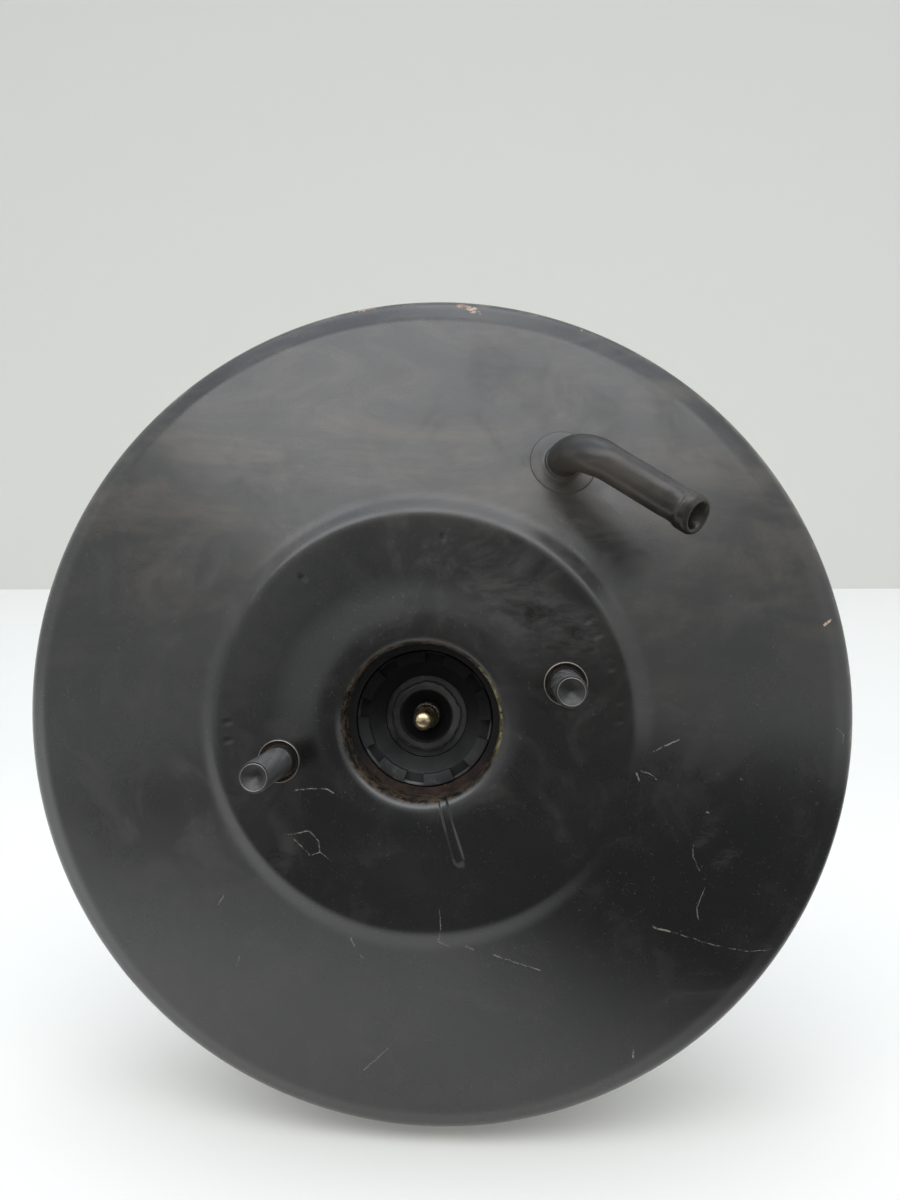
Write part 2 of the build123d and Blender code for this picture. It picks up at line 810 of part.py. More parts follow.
with BuildPart() as poppet_washer:
    washer_back = poppet_back + washer_thickness
    revolve(
        ring_section(poppet_bore + body_gap, sleeve_bore - body_gap, poppet_back, washer_back),
        axis=Axis.Y,
    )
poppet_washer.part.label = "poppet_washer"

with BuildPart() as poppet_cup:
    cup_outline = [
        (poppet_cup_bore, poppet_cup_front),
        (chamber_radius - running_fit, poppet_cup_front),
        (chamber_radius - running_fit, poppet_cup_front + poppet_cup_length),
    ]
    revolve(sheet_section(cup_outline, [poppet_cup_bend], poppet_cup_sheet), axis=Axis.Y)
poppet_cup.part.label = "poppet_cup"

# --- Springs ---
with BuildPart() as return_spring:
    add(coil(return_spring_radius, return_spring_wire, return_spring_turns, retainer_back, piston_front))
return_spring.part.label = "return_spring"

with BuildPart() as poppet_spring:
    add(
        coil(
            poppet_spring_radius,
            poppet_spring_wire,
            poppet_spring_turns,
            washer_back,
            poppet_cup_front,
        )
    )
poppet_spring.part.label = "poppet_spring"

with BuildPart() as input_spring:
    add(coil(input_spring_radius, input_spring_wire, input_spring_turns, input_spring_front, collar_front))
input_spring.part.label = "input_spring"

# --- Air silencer, filter and cap in the end of the tail ---
with BuildPart() as silencer:
    revolve(ring_section(filter_bore, filter_outer_radius, silencer_front, filter_front), axis=Axis.Y)
silencer.part.label = "silencer"

with BuildPart() as air_filter:
    revolve(ring_section(filter_bore, filter_outer_radius, filter_front, cap_front), axis=Axis.Y)
air_filter.part.label = "air_filter"

with BuildPart() as filter_cap:
    with BuildSketch(across(cap_front)):
        Circle(filter_outer_radius)
        Circle(filter_bore, mode=Mode.SUBTRACT)
        with PolarLocations((filter_bore + filter_outer_radius) / 2, boot_holes):
            Circle(boot_hole_radius, mode=Mode.SUBTRACT)
    extrude(amount=-cap_thickness)
filter_cap.part.label = "filter_cap"

# --- Dust boot: grips the neck and the end of the tail, with folds between ---
fold_start = neck_length + boot_wall
fold_pitch = (tail_end - boot_grip - fold_start) / boot_folds
boot_mouth_radius = neck_radius + boot_wall + running_fit
boot_outline = [
    (boot_mouth_radius, neck_length - boot_overlap),
    (boot_mouth_radius, fold_start),
    (boot_fold_radius, fold_start + fold_pitch / 2),
]
for fold in range(1, boot_folds):
    boot_outline.append((boot_crest_radius, fold_start + fold * fold_pitch))
    boot_outline.append((boot_fold_radius, fold_start + (fold + 0.5) * fold_pitch))
boot_outline.append((boot_crest_radius - boot_wall, tail_end - boot_grip))
boot_outline.append((tail_radius + boot_wall + running_fit, tail_end - boot_grip + boot_wall))
boot_outline.append((tail_radius + boot_wall + running_fit, boot_end))
boot_outline.append((filter_bore, boot_end))
boot_bends = [boot_bend] * (len(boot_outline) - 2)

with BuildPart() as dust_boot:
    revolve(sheet_section(boot_outline, boot_bends, boot_wall), axis=Axis.Y)
    with BuildSketch(across(boot_end)):
        with PolarLocations((filter_bore + filter_outer_radius) / 2, boot_holes):
            Circle(boot_hole_radius)
    extrude(amount=2 * boot_wall, mode=Mode.SUBTRACT)
dust_boot.part.label = "dust_boot"

# --- Input rod with its ball, spring collar and lock nut ---
input_rod_end = fork_front - body_gap

with BuildPart() as input_rod:
    rod_outline = [
        (0, ball_station),
        (ball_neck_radius, ball_station),
        (ball_neck_radius, socket_end + ball_neck_radius),
        (rod_neck_radius, socket_end + 2 * ball_neck_radius),
        (rod_neck_radius, collar_back),
        (input_rod_radius, collar_back),
        (input_rod_radius, input_rod_end),
        (0, input_rod_end),
    ]
    revolve(half_section(rod_outline), axis=Axis.Y)
    with Locations((0, ball_station, 0)):
        Sphere(ball_radius)
    chamfer(input_rod.edges().group_by(Axis.Y)[-1], length=input_rod_chamfer)
input_rod.part.label = "input_rod"

with BuildPart() as spring_collar:
    revolve(
        ring_section(rod_neck_radius + running_fit, collar_radius, collar_front, collar_back),
        axis=Axis.Y,
    )
spring_collar.part.label = "spring_collar"

with BuildPart() as lock_nut:
    with BuildSketch(across(nut_front)):
        RegularPolygon(nut_width / 2, 6, major_radius=False)
        Circle(input_rod_radius + running_fit, mode=Mode.SUBTRACT)
    extrude(amount=-nut_thickness)
lock_nut.part.label = "lock_nut"

# --- Clevis, its pin and the clip that holds the pin ---
with BuildPart() as clevis:
    with BuildSketch(across(clevis_front)):
        Circle(clevis_height / 2)
    extrude(amount=-clevis_boss)
    with BuildSketch(along_level(0)):
        with Locations((clevis_bridge_front, 0)):
            Rectangle(pin_station - clevis_bridge_front, clevis_height, align=(Align.MIN, Align.CENTER))
        with Locations((pin_station, 0)):
            Circle(clevis_height / 2)
    extrude(amount=clevis_width / 2, both=True)
    with BuildSketch(along_level(0)):
        with Locations((fork_front, 0)):
            Rectangle(clevis_reach + clevis_height, 2 * clevis_height, align=(Align.MIN, Align.CENTER))
    extrude(amount=clevis_gap / 2, both=True, mode=Mode.SUBTRACT)
    with BuildSketch(along_level(0)):
        with Locations((pin_station, 0)):
            Circle(pin_radius + running_fit)
    extrude(amount=clevis_width, both=True, mode=Mode.SUBTRACT)
    with BuildSketch(across(clevis_front)):
        Circle(input_rod_radius + running_fit)
    extrude(amount=-clevis_boss * 2, mode=Mode.SUBTRACT)
clevis.part.label = "clevis"

ear_outside = clevis_width / 2
groove_start = ear_outside + body_gap

with BuildPart() as clevis_pin:
    with BuildSketch(along_level(-ear_outside - body_gap)):
        with Locations((pin_station, 0)):
            Circle(pin_radius)
    extrude(amount=clevis_width + 2 * body_gap + pin_tail)
    with BuildSketch(along_level(-ear_outside - body_gap)):
        with Locations((pin_station, 0)):
            Circle(pin_head_radius)
    extrude(amount=-pin_head)
    with BuildSketch(along_level(groove_start)):
        with Locations((pin_station, 0)):
            Circle(2 * pin_radius)
            Circle(clip_groove_radius, mode=Mode.SUBTRACT)
    extrude(amount=clip_thickness, mode=Mode.SUBTRACT)
clevis_pin.part.label = "clevis_pin"

with BuildPart() as pin_clip:
    with BuildSketch(along_level(groove_start)):
        with Locations((pin_station, 0)):
            Circle(clip_radius)
            Circle(clip_groove_radius, mode=Mode.SUBTRACT)
            Rectangle(
                2 * clip_radius,
                clip_mouth,
                align=(Align.MIN, Align.CENTER),
                mode=Mode.SUBTRACT,
            )
    extrude(amount=clip_thickness)
pin_clip.part.label = "pin_clip"

# --- Write each sub-part to its own file ---
sub_parts = [
    front_shell,
    front_plate,
    cylinder_studs,
    pipe_flange,
    vacuum_pipe,
    seal_retainer,
    front_seal,
    rear_shell,
    rear_plate,
    bulkhead_studs,
    bulkhead_gasket,
    rear_bearing,
    rear_seal,
    diaphragm,
    diaphragm_plate,
    valve_body,
    return_spring,
    reaction_disc,
    output_rod,
    rod_tip,
    stop_key,
    plunger,
    poppet,
    poppet_washer,
    poppet_spring,
    poppet_cup,
    input_spring,
    silencer,
    air_filter,
    filter_cap,
    dust_boot,
    input_rod,
    spring_collar,
    lock_nut,
    clevis,
    clevis_pin,
    pin_clip,
]
for sub_part in sub_parts:
    export_step(sub_part.part, f"parts/{sub_part.part.label}.step")
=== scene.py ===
import json
from math import atan2, ceil, cos, degrees, pi, radians, sin, tan

import bpy
import numpy as np
from mathutils import Matrix, Vector


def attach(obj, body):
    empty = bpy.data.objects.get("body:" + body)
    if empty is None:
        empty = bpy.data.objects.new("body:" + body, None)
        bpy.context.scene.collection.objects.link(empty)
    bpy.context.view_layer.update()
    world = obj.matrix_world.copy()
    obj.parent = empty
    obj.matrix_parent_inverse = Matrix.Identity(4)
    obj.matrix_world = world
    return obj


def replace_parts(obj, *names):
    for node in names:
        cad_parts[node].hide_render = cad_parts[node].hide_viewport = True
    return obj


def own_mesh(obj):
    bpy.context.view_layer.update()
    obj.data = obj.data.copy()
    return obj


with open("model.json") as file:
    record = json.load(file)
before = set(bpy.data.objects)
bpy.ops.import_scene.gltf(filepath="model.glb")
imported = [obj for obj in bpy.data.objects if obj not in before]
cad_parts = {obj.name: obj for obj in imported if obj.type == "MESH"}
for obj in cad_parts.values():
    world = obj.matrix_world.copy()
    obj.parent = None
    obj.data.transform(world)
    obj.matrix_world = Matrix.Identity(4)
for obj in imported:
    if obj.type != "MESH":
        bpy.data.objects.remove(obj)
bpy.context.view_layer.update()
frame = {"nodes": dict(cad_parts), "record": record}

# A vacuum brake booster. Its axis is Y and its front faces -Y. A station is a place along Y.
# Shapes are in millimetres until a mesh is made, and everything else is in metres unless it says
# otherwise. These are the sizes of the booster that its solids have too.
MM = 0.001
ROLL = radians(15.5)
SHEET = 1.6
PILOT_RADIUS = 21.05
FRONT = -100.0
SHELL_RADIUS, RIM_RADIUS = 122, 126.5
NECK_RADIUS, NECK_END = 27, 38.0
TAIL_END = 86.0
RETAINER_BACK = -86.5
PISTON_FRONT = -19.0
SPRING_SEAT, SPRING_TOP = 15.45, 45.8

# =====================================================================
# Shapes
# =====================================================================
ON_AXIS = 1e-6
SAME_PLACE = 1e-4


def bend_at(before, corner, after, bend):
    """Start, end and centre of a round bend at a corner, and the angle that it turns through."""
    back, ahead = (before - corner).normalized(), (after - corner).normalized()
    half = back.angle(ahead) / 2
    reach = bend / tan(half)
    centre = corner + (back + ahead).normalized() * (bend / sin(half))
    return corner + back * reach, corner + ahead * reach, centre, pi - 2 * half


def rounded(points, bends, step):
    """Outline through (radius, station) points with round bends, cut into runs of up to `step`."""
    points = [Vector(p) for p in points]
    corners = [(points[0], points[0], None, 0)]
    for i, bend in enumerate(bends, start=1):
        corners.append(bend_at(points[i - 1], points[i], points[i + 1], bend))
    corners.append((points[-1], points[-1], None, 0))
    line = [corners[0][0]]
    for (_, start, _, _), (end, leave, centre, swing) in zip(corners, corners[1:]):
        cuts = max(1, ceil((end - start).length / step))
        line += [start.lerp(end, k / cuts) for k in range(1, cuts + 1)]
        if centre is not None:
            a, b = end - centre, leave - centre
            cuts = max(4, ceil(a.length * swing / min(step, a.length / 3)))
            line += [centre + a.slerp(b, k / cuts) * a.length for k in range(1, cuts + 1)]
    clean = [line[0]]
    for p in line[1:]:
        if (p - clean[-1]).length > SAME_PLACE:
            clean.append(p)
    return [tuple(p) for p in clean]


def sheet_loop(points, bends, thickness, step):
    """Closed outline of bent sheet, which lies to the left of its outer surface's points."""
    outer = np.array(rounded(points, bends, step))
    run = np.gradient(outer, axis=0)
    run /= np.linalg.norm(run, axis=1)[:, None]
    inner = outer + thickness * np.stack([-run[:, 1], run[:, 0]], axis=1)
    return np.concatenate([outer, inner[::-1]])


def linked(name, data):
    """New object in the scene."""
    thing = bpy.data.objects.new(name, data)
    bpy.context.scene.collection.objects.link(thing)
    return thing


def finish_mesh(name, vertices, faces, material, crease=35):
    """Mesh object from millimetres, smooth except at edges sharper than `crease` degrees."""
    mesh = bpy.data.meshes.new(name)
    places = (np.asarray(vertices) * MM).tolist()
    mesh.from_pydata(places, [], [list(map(int, f)) for f in faces])
    mesh.validate()
    mesh.shade_smooth()
    mesh.set_sharp_from_angle(angle=radians(crease))
    mesh.materials.append(material)
    return linked(name, mesh)


def turn(loop, segments, warp=None, arc=None):
    """Closed (radius, station) outline turned about Y, or through an arc in degrees."""
    loop = np.asarray(loop, float)
    area = np.sum(loop[:, 0] * np.roll(loop[:, 1], -1) - np.roll(loop[:, 0], -1) * loop[:, 1])
    if area < 0:
        loop = loop[::-1]
    count = len(loop)
    if arc is None:
        angles = np.arange(segments) * 2 * pi / segments
    else:
        angles = np.radians(np.linspace(arc[0], arc[1], segments + 1))
    rings = len(angles)
    radius = np.tile(loop[:, 0], rings)
    station = np.tile(loop[:, 1], rings)
    angle = np.repeat(angles, count)
    if warp is not None:
        radius, station = warp(radius, station, angle)
    vertices = np.stack([radius * np.cos(angle), station, radius * np.sin(angle)], axis=1)
    axis = np.abs(loop[:, 0]) < ON_AXIS
    faces = []
    for i in range(rings if arc is None else rings - 1):
        a, b = i * count, ((i + 1) % rings) * count
        for k in range(count):
            n = (k + 1) % count
            if axis[k] and axis[n]:
                continue
            if axis[k]:
                faces.append((a + k, b + n, a + n))
            elif axis[n]:
                faces.append((a + k, b + k, a + n))
            else:
                faces.append((a + k, b + k, b + n, a + n))
    if arc is not None:
        faces.append(tuple(range(count)))
        faces.append(tuple((rings - 1) * count + k for k in range(count))[::-1])
    if axis.any():
        first = np.arange(len(vertices))
        for k in np.where(axis)[0]:
            first[k::count] = k
        faces = [tuple(first[list(f)]) for f in faces]
        used = sorted({v for f in faces for v in f})
        place = {v: n for n, v in enumerate(used)}
        vertices = vertices[used]
        faces = [tuple(place[v] for v in f) for f in faces]
    return vertices, faces


def lathe(name, loop, material, segments=180, warp=None, crease=35):
    return finish_mesh(name, *turn(loop, segments, warp), material, crease)


def tube_faces(rings, around, closed=False):
    """Faces between rings of `around` vertices, which end in caps or close on themselves."""
    faces = []
    for i in range(rings if closed else rings - 1):
        a, b = i * around, ((i + 1) % rings) * around
        for k in range(around):
            n = (k + 1) % around
            faces.append((a + k, a + n, b + n, b + k))
    if not closed:
        faces.append(tuple(range(around))[::-1])
        faces.append(tuple((rings - 1) * around + k for k in range(around)))
    return faces


def merged(parts):
    """Vertices and faces of several closed shapes together."""
    vertices, faces, offset = [], [], 0
    for v, f in parts:
        vertices.append(np.asarray(v, float))
        faces += [tuple(i + offset for i in face) for face in f]
        offset += len(v)
    return np.concatenate(vertices), faces


def placed(shape, place, flip=False):
    """A shape along +Y moved to a place, turned to face the front if flipped."""
    vertices, faces = shape
    vertices = np.array(vertices)
    if flip:
        vertices = vertices * np.array([-1.0, -1.0, 1.0])
    return vertices + np.array(place), faces


def along(shape, place, direction):
    """A shape along +Y laid along a direction from a place."""
    vertices, faces = shape
    turn_to = np.array(Vector((0, 1, 0)).rotation_difference(Vector(direction)).to_matrix())
    return np.asarray(vertices) @ turn_to.T + np.array(place), faces


def local(x, up, station):
    """A place given along and above the booster's own level line, in the frame."""
    return Vector((x * cos(ROLL) - up * sin(ROLL), station, x * sin(ROLL) + up * cos(ROLL)))


def round_row(count, offset=0.0):
    """Angles in degrees of an even row round the axis, from `offset` past the level line on."""
    return [degrees(ROLL) + offset + 360 / count * k for k in range(count)]


def ring(inner, outer, front, back):
    return [(inner, front), (outer, front), (outer, back), (inner, back)]


def smooth(t):
    t = np.clip(t, 0, 1)
    return t * t * (3 - 2 * t)


# =====================================================================
# Materials
# =====================================================================
class Nodes:
    """Short ways to add nodes to a tree."""

    def __init__(self, tree):
        self.tree = tree

    def put(self, socket, value):
        """Link a socket to another, or set its number, vector or colour."""
        if isinstance(value, bpy.types.NodeSocket):
            self.tree.links.new(value, socket)
        elif socket.type == "RGBA":
            socket.default_value = (*value, 1.0)
        else:
            socket.default_value = value

    def add(self, kind, inputs=None, **settings):
        node = self.tree.nodes.new(kind)
        for key, value in settings.items():
            setattr(node, key, value)
        for key, value in (inputs or {}).items():
            self.put(node.inputs[key], value)
        return node

    def vector(self, operation, a, b=(0, 0, 0), out=0):
        return self.add("ShaderNodeVectorMath", {0: a, 1: b}, operation=operation).outputs[out]

    def calc(self, operation, a, b=0.0):
        return self.add("ShaderNodeMath", {0: a, 1: b}, operation=operation).outputs[0]

    def times(self, first, *others):
        for other in others:
            first = self.calc("MULTIPLY", first, other)
        return first

    def fit(self, value, low, high, to_low=0.0, to_high=1.0):
        """Value taken from one range to another, eased and clamped."""
        inputs = {"Value": value, "From Min": low, "From Max": high, "To Min": to_low,
                  "To Max": to_high}
        node = self.add("ShaderNodeMapRange", inputs, interpolation_type="SMOOTHSTEP")
        return node.outputs["Result"]

    def tint(self, amount, under, over):
        """Colour `under`, with `over` laid over it by amount."""
        inputs = {0: amount, 6: under, 7: over}
        return self.add("ShaderNodeMix", inputs, data_type="RGBA").outputs[2]

    def split(self, place):
        """X, Y and Z of a place."""
        return self.add("ShaderNodeSeparateXYZ", {0: place}).outputs

    def flat(self, place):
        """A place with its station left out."""
        return self.vector("MULTIPLY", place, (1, 0, 1))


class Finish(Nodes):
    """A new material, with the colour and roughness that are built up for its shader."""

    def __init__(self, name, **sockets):
        self.made = bpy.data.materials.new(name)
        self.made.use_nodes = True
        super().__init__(self.made.node_tree)
        self.shader = self.tree.nodes["Principled BSDF"].inputs
        for key, value in sockets.items():
            self.shader[key.replace("_", " ")].default_value = value
        self.place = self.add("ShaderNodeTexCoord").outputs["Object"]
        self.colour = self.rough = None

    def noise(self, scale, detail=3.0, rough=0.5, distort=0.0, place=None):
        inputs = {"Vector": place or self.place, "Scale": scale, "Detail": detail,
                  "Roughness": rough, "Distortion": distort}
        return self.add("ShaderNodeTexNoise", inputs).outputs["Fac"]

    def combed(self, *stretch):
        """The place stretched, so that noise runs in streaks."""
        return self.vector("MULTIPLY", self.place, stretch)

    def radius(self):
        """Distance from the booster's axis."""
        return self.vector("LENGTH", self.flat(self.place), out="Value")

    def stain(self, amount, tone, strength=None):
        """Lay a tone over the colour so far."""
        if strength:
            amount = self.times(amount, strength)
        self.colour = self.tint(amount, self.colour, tone)

    def dull(self, amount, strength):
        self.rough = self.calc("ADD", self.rough, self.times(amount, strength))

    def bump(self, height, distance, strength=1.0):
        """Relief on the shader, over any that it has. Distance is in millimetres."""
        inputs = {"Height": height, "Distance": distance * MM, "Strength": strength}
        normal = self.shader["Normal"]
        if normal.links:
            inputs["Normal"] = normal.links[0].from_socket
        self.put(normal, self.add("ShaderNodeBump", inputs).outputs["Normal"])

    def done(self):
        self.put(self.shader["Base Color"], self.colour)
        self.put(self.shader["Roughness"], self.rough)
        return self.made


def mark_group():
    """Node group: a mark along the straight line between two places, seen from the front."""
    group = bpy.data.node_groups.new("mark", "ShaderNodeTree")
    for name in ("Place", "From", "To"):
        group.interface.new_socket(name=name, in_out="INPUT", socket_type="NodeSocketVector")
    group.interface.new_socket(name="Width", in_out="INPUT", socket_type="NodeSocketFloat")
    group.interface.new_socket(name="Mark", in_out="OUTPUT", socket_type="NodeSocketFloat")
    n = Nodes(group)
    given = n.add("NodeGroupInput").outputs
    start = n.vector("SUBTRACT", given["Place"], given["From"])
    run = n.vector("SUBTRACT", given["To"], given["From"])
    share = n.calc("DIVIDE", n.vector("DOT_PRODUCT", start, run, out="Value"),
                   n.vector("DOT_PRODUCT", run, run, out="Value"))
    share = n.add("ShaderNodeClamp", {"Value": share}).outputs[0]
    nearest = n.add("ShaderNodeVectorMath", {0: run, "Scale": share}, operation="SCALE").outputs[0]
    away = n.vector("LENGTH", n.vector("SUBTRACT", start, nearest), out="Value")
    fade = n.add("ShaderNodeMapRange", {"Value": away, "From Min": 0.0, "From Max": given["Width"],
                                        "To Min": 1.0, "To Max": 0.0})
    n.add("NodeGroupOutput", {"Mark": fade.outputs["Result"]})
    return group


MARK = mark_group()
WAVER = 0.9


def marks(m, lines):
    """The strongest of several marks, whose lines waver a little."""
    uneven = m.add("ShaderNodeTexNoise", {"Vector": m.place, "Scale": 300.0}).outputs["Color"]
    uneven = m.vector("SUBTRACT", uneven, (0.5, 0.5, 0.5))
    inputs = {0: uneven, 1: (WAVER * MM, 0, WAVER * MM), 2: m.flat(m.place)}
    place = m.add("ShaderNodeVectorMath", inputs, operation="MULTIPLY_ADD").outputs[0]
    total = 0.0
    for width, *corners in lines:
        for (x0, z0), (x1, z1) in zip(corners, corners[1:]):
            one = m.add("ShaderNodeGroup", node_tree=MARK)
            for key, value in (("Place", place), ("From", (x0 * MM, 0, z0 * MM)),
                               ("To", (x1 * MM, 0, z1 * MM)), ("Width", width * MM)):
                m.put(one.inputs[key], value)
            total = m.calc("MAXIMUM", one.outputs["Mark"], total)
    return total


# Marks on the front, in millimetres: half width, then the (x, z) places that each runs through
SCRATCHES = [
    (0.30, (-36.0, -30.5), (-30.5, -29.5), (-27.5, -32.0), (-27.5, -35.0), (-30.0, -36.0),
     (-34.5, -31.5)),
    (0.22, (-27.5, -35.0), (-24.0, -37.5)),
    (0.25, (5.0, -50.0), (5.5, -55.0), (4.5, -58.5), (7.5, -60.5)),
    (0.55, (12.0, -60.5), (14.0, -61.5)),
    (0.28, (19.5, -63.0), (32.0, -68.0)),
    (0.55, (62.5, -56.0), (64.0, -57.0), (67.5, -58.0)),
    (0.20, (67.5, -58.0), (81.0, -63.0), (90.0, -65.5), (98.5, -65.5)),
    (0.40, (-19.5, -59.0), (-18.5, -61.5)),
    (0.22, (-17.5, -63.5), (-15.5, -66.0)),
    (0.25, (-56.0, -49.5), (-58.0, -52.5)),
    (0.38, (-52.5, -67.5), (-53.5, -70.5)),
    (0.22, (73.5, -33.5), (73.5, -37.0), (75.5, -41.0)),
    (0.24, (77.0, -46.0), (75.0, -51.5), (75.5, -55.0)),
    (0.55, (58.5, -92.5), (58.5, -96.0)),
    (0.22, (-18.0, -101.0), (-10.5, -93.5)),
    (0.38, (62.0, -7.5), (69.0, -4.5)),
    (0.55, (57.0, -13.0), (58.0, -15.0)),
    (0.32, (115.0, -2.5), (117.5, -5.0), (117.5, -7.0)),
    (0.22, (58.5, -12.5), (61.0, -13.5), (63.0, -15.0)),
    (0.45, (86.5, -16.0), (87.0, -16.2)),
    (0.40, (77.0, -24.5), (77.5, -24.7)),
    (0.38, (-34.0, -18.5), (-29.5, -18.0), (-25.0, -18.0), (-23.5, -19.0)),
]
CHIPS = [
    (1.4, (9.0, 119.3), (13.0, 117.6)),
    (0.5, (14.5, 117.0), (15.0, 116.4)),
    (0.8, (-20.5, 118.9), (-16.5, 119.6)),
    (0.6, (16.0, 119.8), (17.5, 119.6)),
    (0.7, (44.5, 111.5), (45.0, 111.3)),
    (1.0, (-119.5, 22.0), (-118.5, 26.0)),
    (0.5, (-121.0, -6.0), (-120.8, -4.0)),
    (1.2, (3.0, -121.5), (6.0, -121.2)),
    (0.5, (112.0, 26.0), (114.0, 27.5)),
]
SMUDGES = [
    (6.0, (38.5, 53.0), (44.0, 46.5)),
    (5.0, (52.0, 62.0), (66.0, 47.0)),
    (5.0, (30.0, 30.0), (40.0, 24.0)),
    (4.0, (42.0, 4.0), (38.0, 14.0)),
]
RUBBED = [
    (13.0, (20.0, 36.0), (42.0, 22.0)),
    (9.0, (36.0, 56.0), (62.0, 50.0)),
    (4.5, (-40.0, -2.0), (-34.0, -2.0)),
    (5.0, (-37.5, -37.5), (-35.5, -33.0)),
    (4.0, (7.5, -74.5), (20.0, -78.5)),
    (3.5, (75.5, -33.0), (79.5, -28.5)),
    (3.5, (80.5, -39.5), (85.5, -35.5)),
    (7.0, (-48.0, -62.0), (-36.0, -72.0)),
    (8.0, (60.0, 6.0), (78.0, -2.0)),
]

# Tones of the paint and of what lies on it
BLACK, SOFT_BLACK = (0.0050, 0.0049, 0.0046), (0.0108, 0.0102, 0.0090)
FILM, DUST, BROWN_HAZE = (0.060, 0.058, 0.052), (0.17, 0.165, 0.145), (0.066, 0.056, 0.042)
PALE_RIM, PALE_RUST, DARK_RUST = (0.15, 0.145, 0.115), (0.42, 0.30, 0.21), (0.17, 0.085, 0.05)
LIP_RUST, GREASE = (0.13, 0.095, 0.065), (0.24, 0.21, 0.10)
SCRATCHED, RUBBED_TONE, SMUDGED = (0.34, 0.33, 0.28), (0.062, 0.060, 0.054), (0.008, 0.008, 0.007)
# Painted shade for the deep bore and for the tops of recesses
PAINTED_SHADE_BLACK = (0.002, 0.002, 0.002)


def paint(name, worn=False, shine=0.8):
    """Black dip paint: cloudy gloss, dust and orange peel."""
    m = Finish(name, Specular_IOR_Level=shine)
    cloud = m.noise(11.0, 5.0, 0.62, 0.4)
    wiped = m.noise(46.0, 6.0, 0.68, 1.2)
    fine = m.noise(210.0, 4.0, 0.6)
    speck = m.noise(1300.0, 3.0, 0.6)
    m.colour = m.tint(m.fit(cloud, 0.36, 0.64), BLACK, SOFT_BLACK)
    m.rough = m.fit(cloud, 0.3, 0.7, 0.23, 0.32)
    film = m.times(m.fit(wiped, 0.44, 0.70), m.fit(cloud, 0.30, 0.62))
    m.stain(film, FILM, 0.24)
    m.dull(film, 0.16)
    dust = m.times(m.fit(speck, 0.62, 0.74), m.fit(wiped, 0.30, 0.74, 0.10, 1.0))
    m.stain(dust, DUST, 0.36)
    m.dull(dust, 0.20)
    # Brown haze where dust settles on the upper side, wiped in streaks
    side, _, height = m.split(m.place)
    radius = m.radius()
    streaks = m.noise(34.0, 7.0, 0.72, 0.8, m.combed(0.5, 1.0, 1.6))
    haze = m.times(m.fit(streaks, 0.40, 0.68), m.fit(height, -0.01, 0.07),
                   m.fit(radius, 0.050, 0.066))
    m.stain(haze, BROWN_HAZE, 0.65)
    m.bump(fine, 0.009)
    if worn:
        wear(m, fine, radius, side, height)
    return m.done()


def wear(m, fine, radius, side, height):
    """Chips, scratches, rubbed patches and worn edges over the front shell's paint."""
    # Thin, pale wear round the corner of the rim, and rust where the paint has chipped off it
    rim = m.times(m.fit(radius, 0.1193, 0.1207), m.fit(radius, 0.1221, 0.1213),
                  m.fit(m.noise(75.0, 6.0, 0.75), 0.48, 0.64))
    m.stain(rim, PALE_RIM, 0.55)
    flecks = m.times(m.fit(radius, 0.1195, 0.1205), m.fit(m.noise(420.0, 2.0, 0.5), 0.69, 0.73))
    chips = m.times(m.fit(marks(m, CHIPS), 0.1, 0.4), m.fit(m.noise(900.0, 3.0, 0.7), 0.42, 0.52))
    chips = m.calc("MAXIMUM", chips, flecks)
    m.stain(chips, m.tint(m.fit(fine, 0.42, 0.58), PALE_RUST, DARK_RUST))
    # The worn lip of the pilot hole, with rust on its left and grease on its right
    lip = m.times(m.fit(radius, 0.0226, 0.0214), m.fit(m.noise(300.0, 6.0, 0.8), 0.44, 0.58))
    m.stain(lip, LIP_RUST, 0.55)
    greased = m.times(m.fit(radius, 0.0221, 0.0216), m.fit(radius, 0.0208, 0.0212),
                      m.fit(side, 0.012, 0.018), m.fit(m.noise(420.0, 5.0, 0.8), 0.46, 0.52),
                      m.fit(height, -0.010, -0.004))
    m.stain(greased, GREASE)
    lines = m.times(m.fit(marks(m, SCRATCHES), 0.25, 1.0),
                    m.fit(m.noise(420.0, 6.0, 0.8), 0.42, 0.60))
    m.stain(lines, SCRATCHED, 0.70)
    m.dull(lines, 0.2)
    # Dull, rubbed patches, streaked the way they were wiped
    streaks = m.noise(210.0, 7.0, 0.78, 0.6, m.combed(0.45, 1.0, 1.5))
    rubbed = m.times(m.fit(marks(m, RUBBED), 0.05, 0.8), m.fit(streaks, 0.40, 0.68))
    m.stain(rubbed, RUBBED_TONE, 0.24)
    m.dull(rubbed, 0.10)
    smudge = m.times(m.fit(marks(m, SMUDGES), 0.05, 0.9),
                     m.fit(m.noise(120.0, 5.0, 0.7, 0.5), 0.34, 0.66))
    m.stain(smudge, SMUDGED, 0.7)
    m.dull(smudge, -0.12)
    m.bump(lines, 0.03, 0.6)
    m.bump(chips, -0.06, 0.8)


def metal(name, colour, rough, dirt=(0.10, 0.08, 0.06), dirty=0.35, metallic=1.0):
    """Plated or bare steel with uneven tone, faint grain and dirt or rust in patches."""
    m = Finish(name, Metallic=metallic)
    fine = m.noise(500.0, 5.0, 0.65)
    darker = tuple(0.72 * c for c in colour)
    m.colour = m.tint(m.fit(m.noise(60.0, 4.0, 0.6), 0.3, 0.7), darker, colour)
    m.rough = m.fit(fine, 0.3, 0.7, rough - 0.07, rough + 0.10)
    patch = m.times(m.fit(m.noise(130.0, 6.0, 0.72), 0.52, 0.72), dirty)
    m.stain(patch, dirt)
    m.dull(patch, 0.4)
    m.bump(fine, 0.01)
    return m.done()


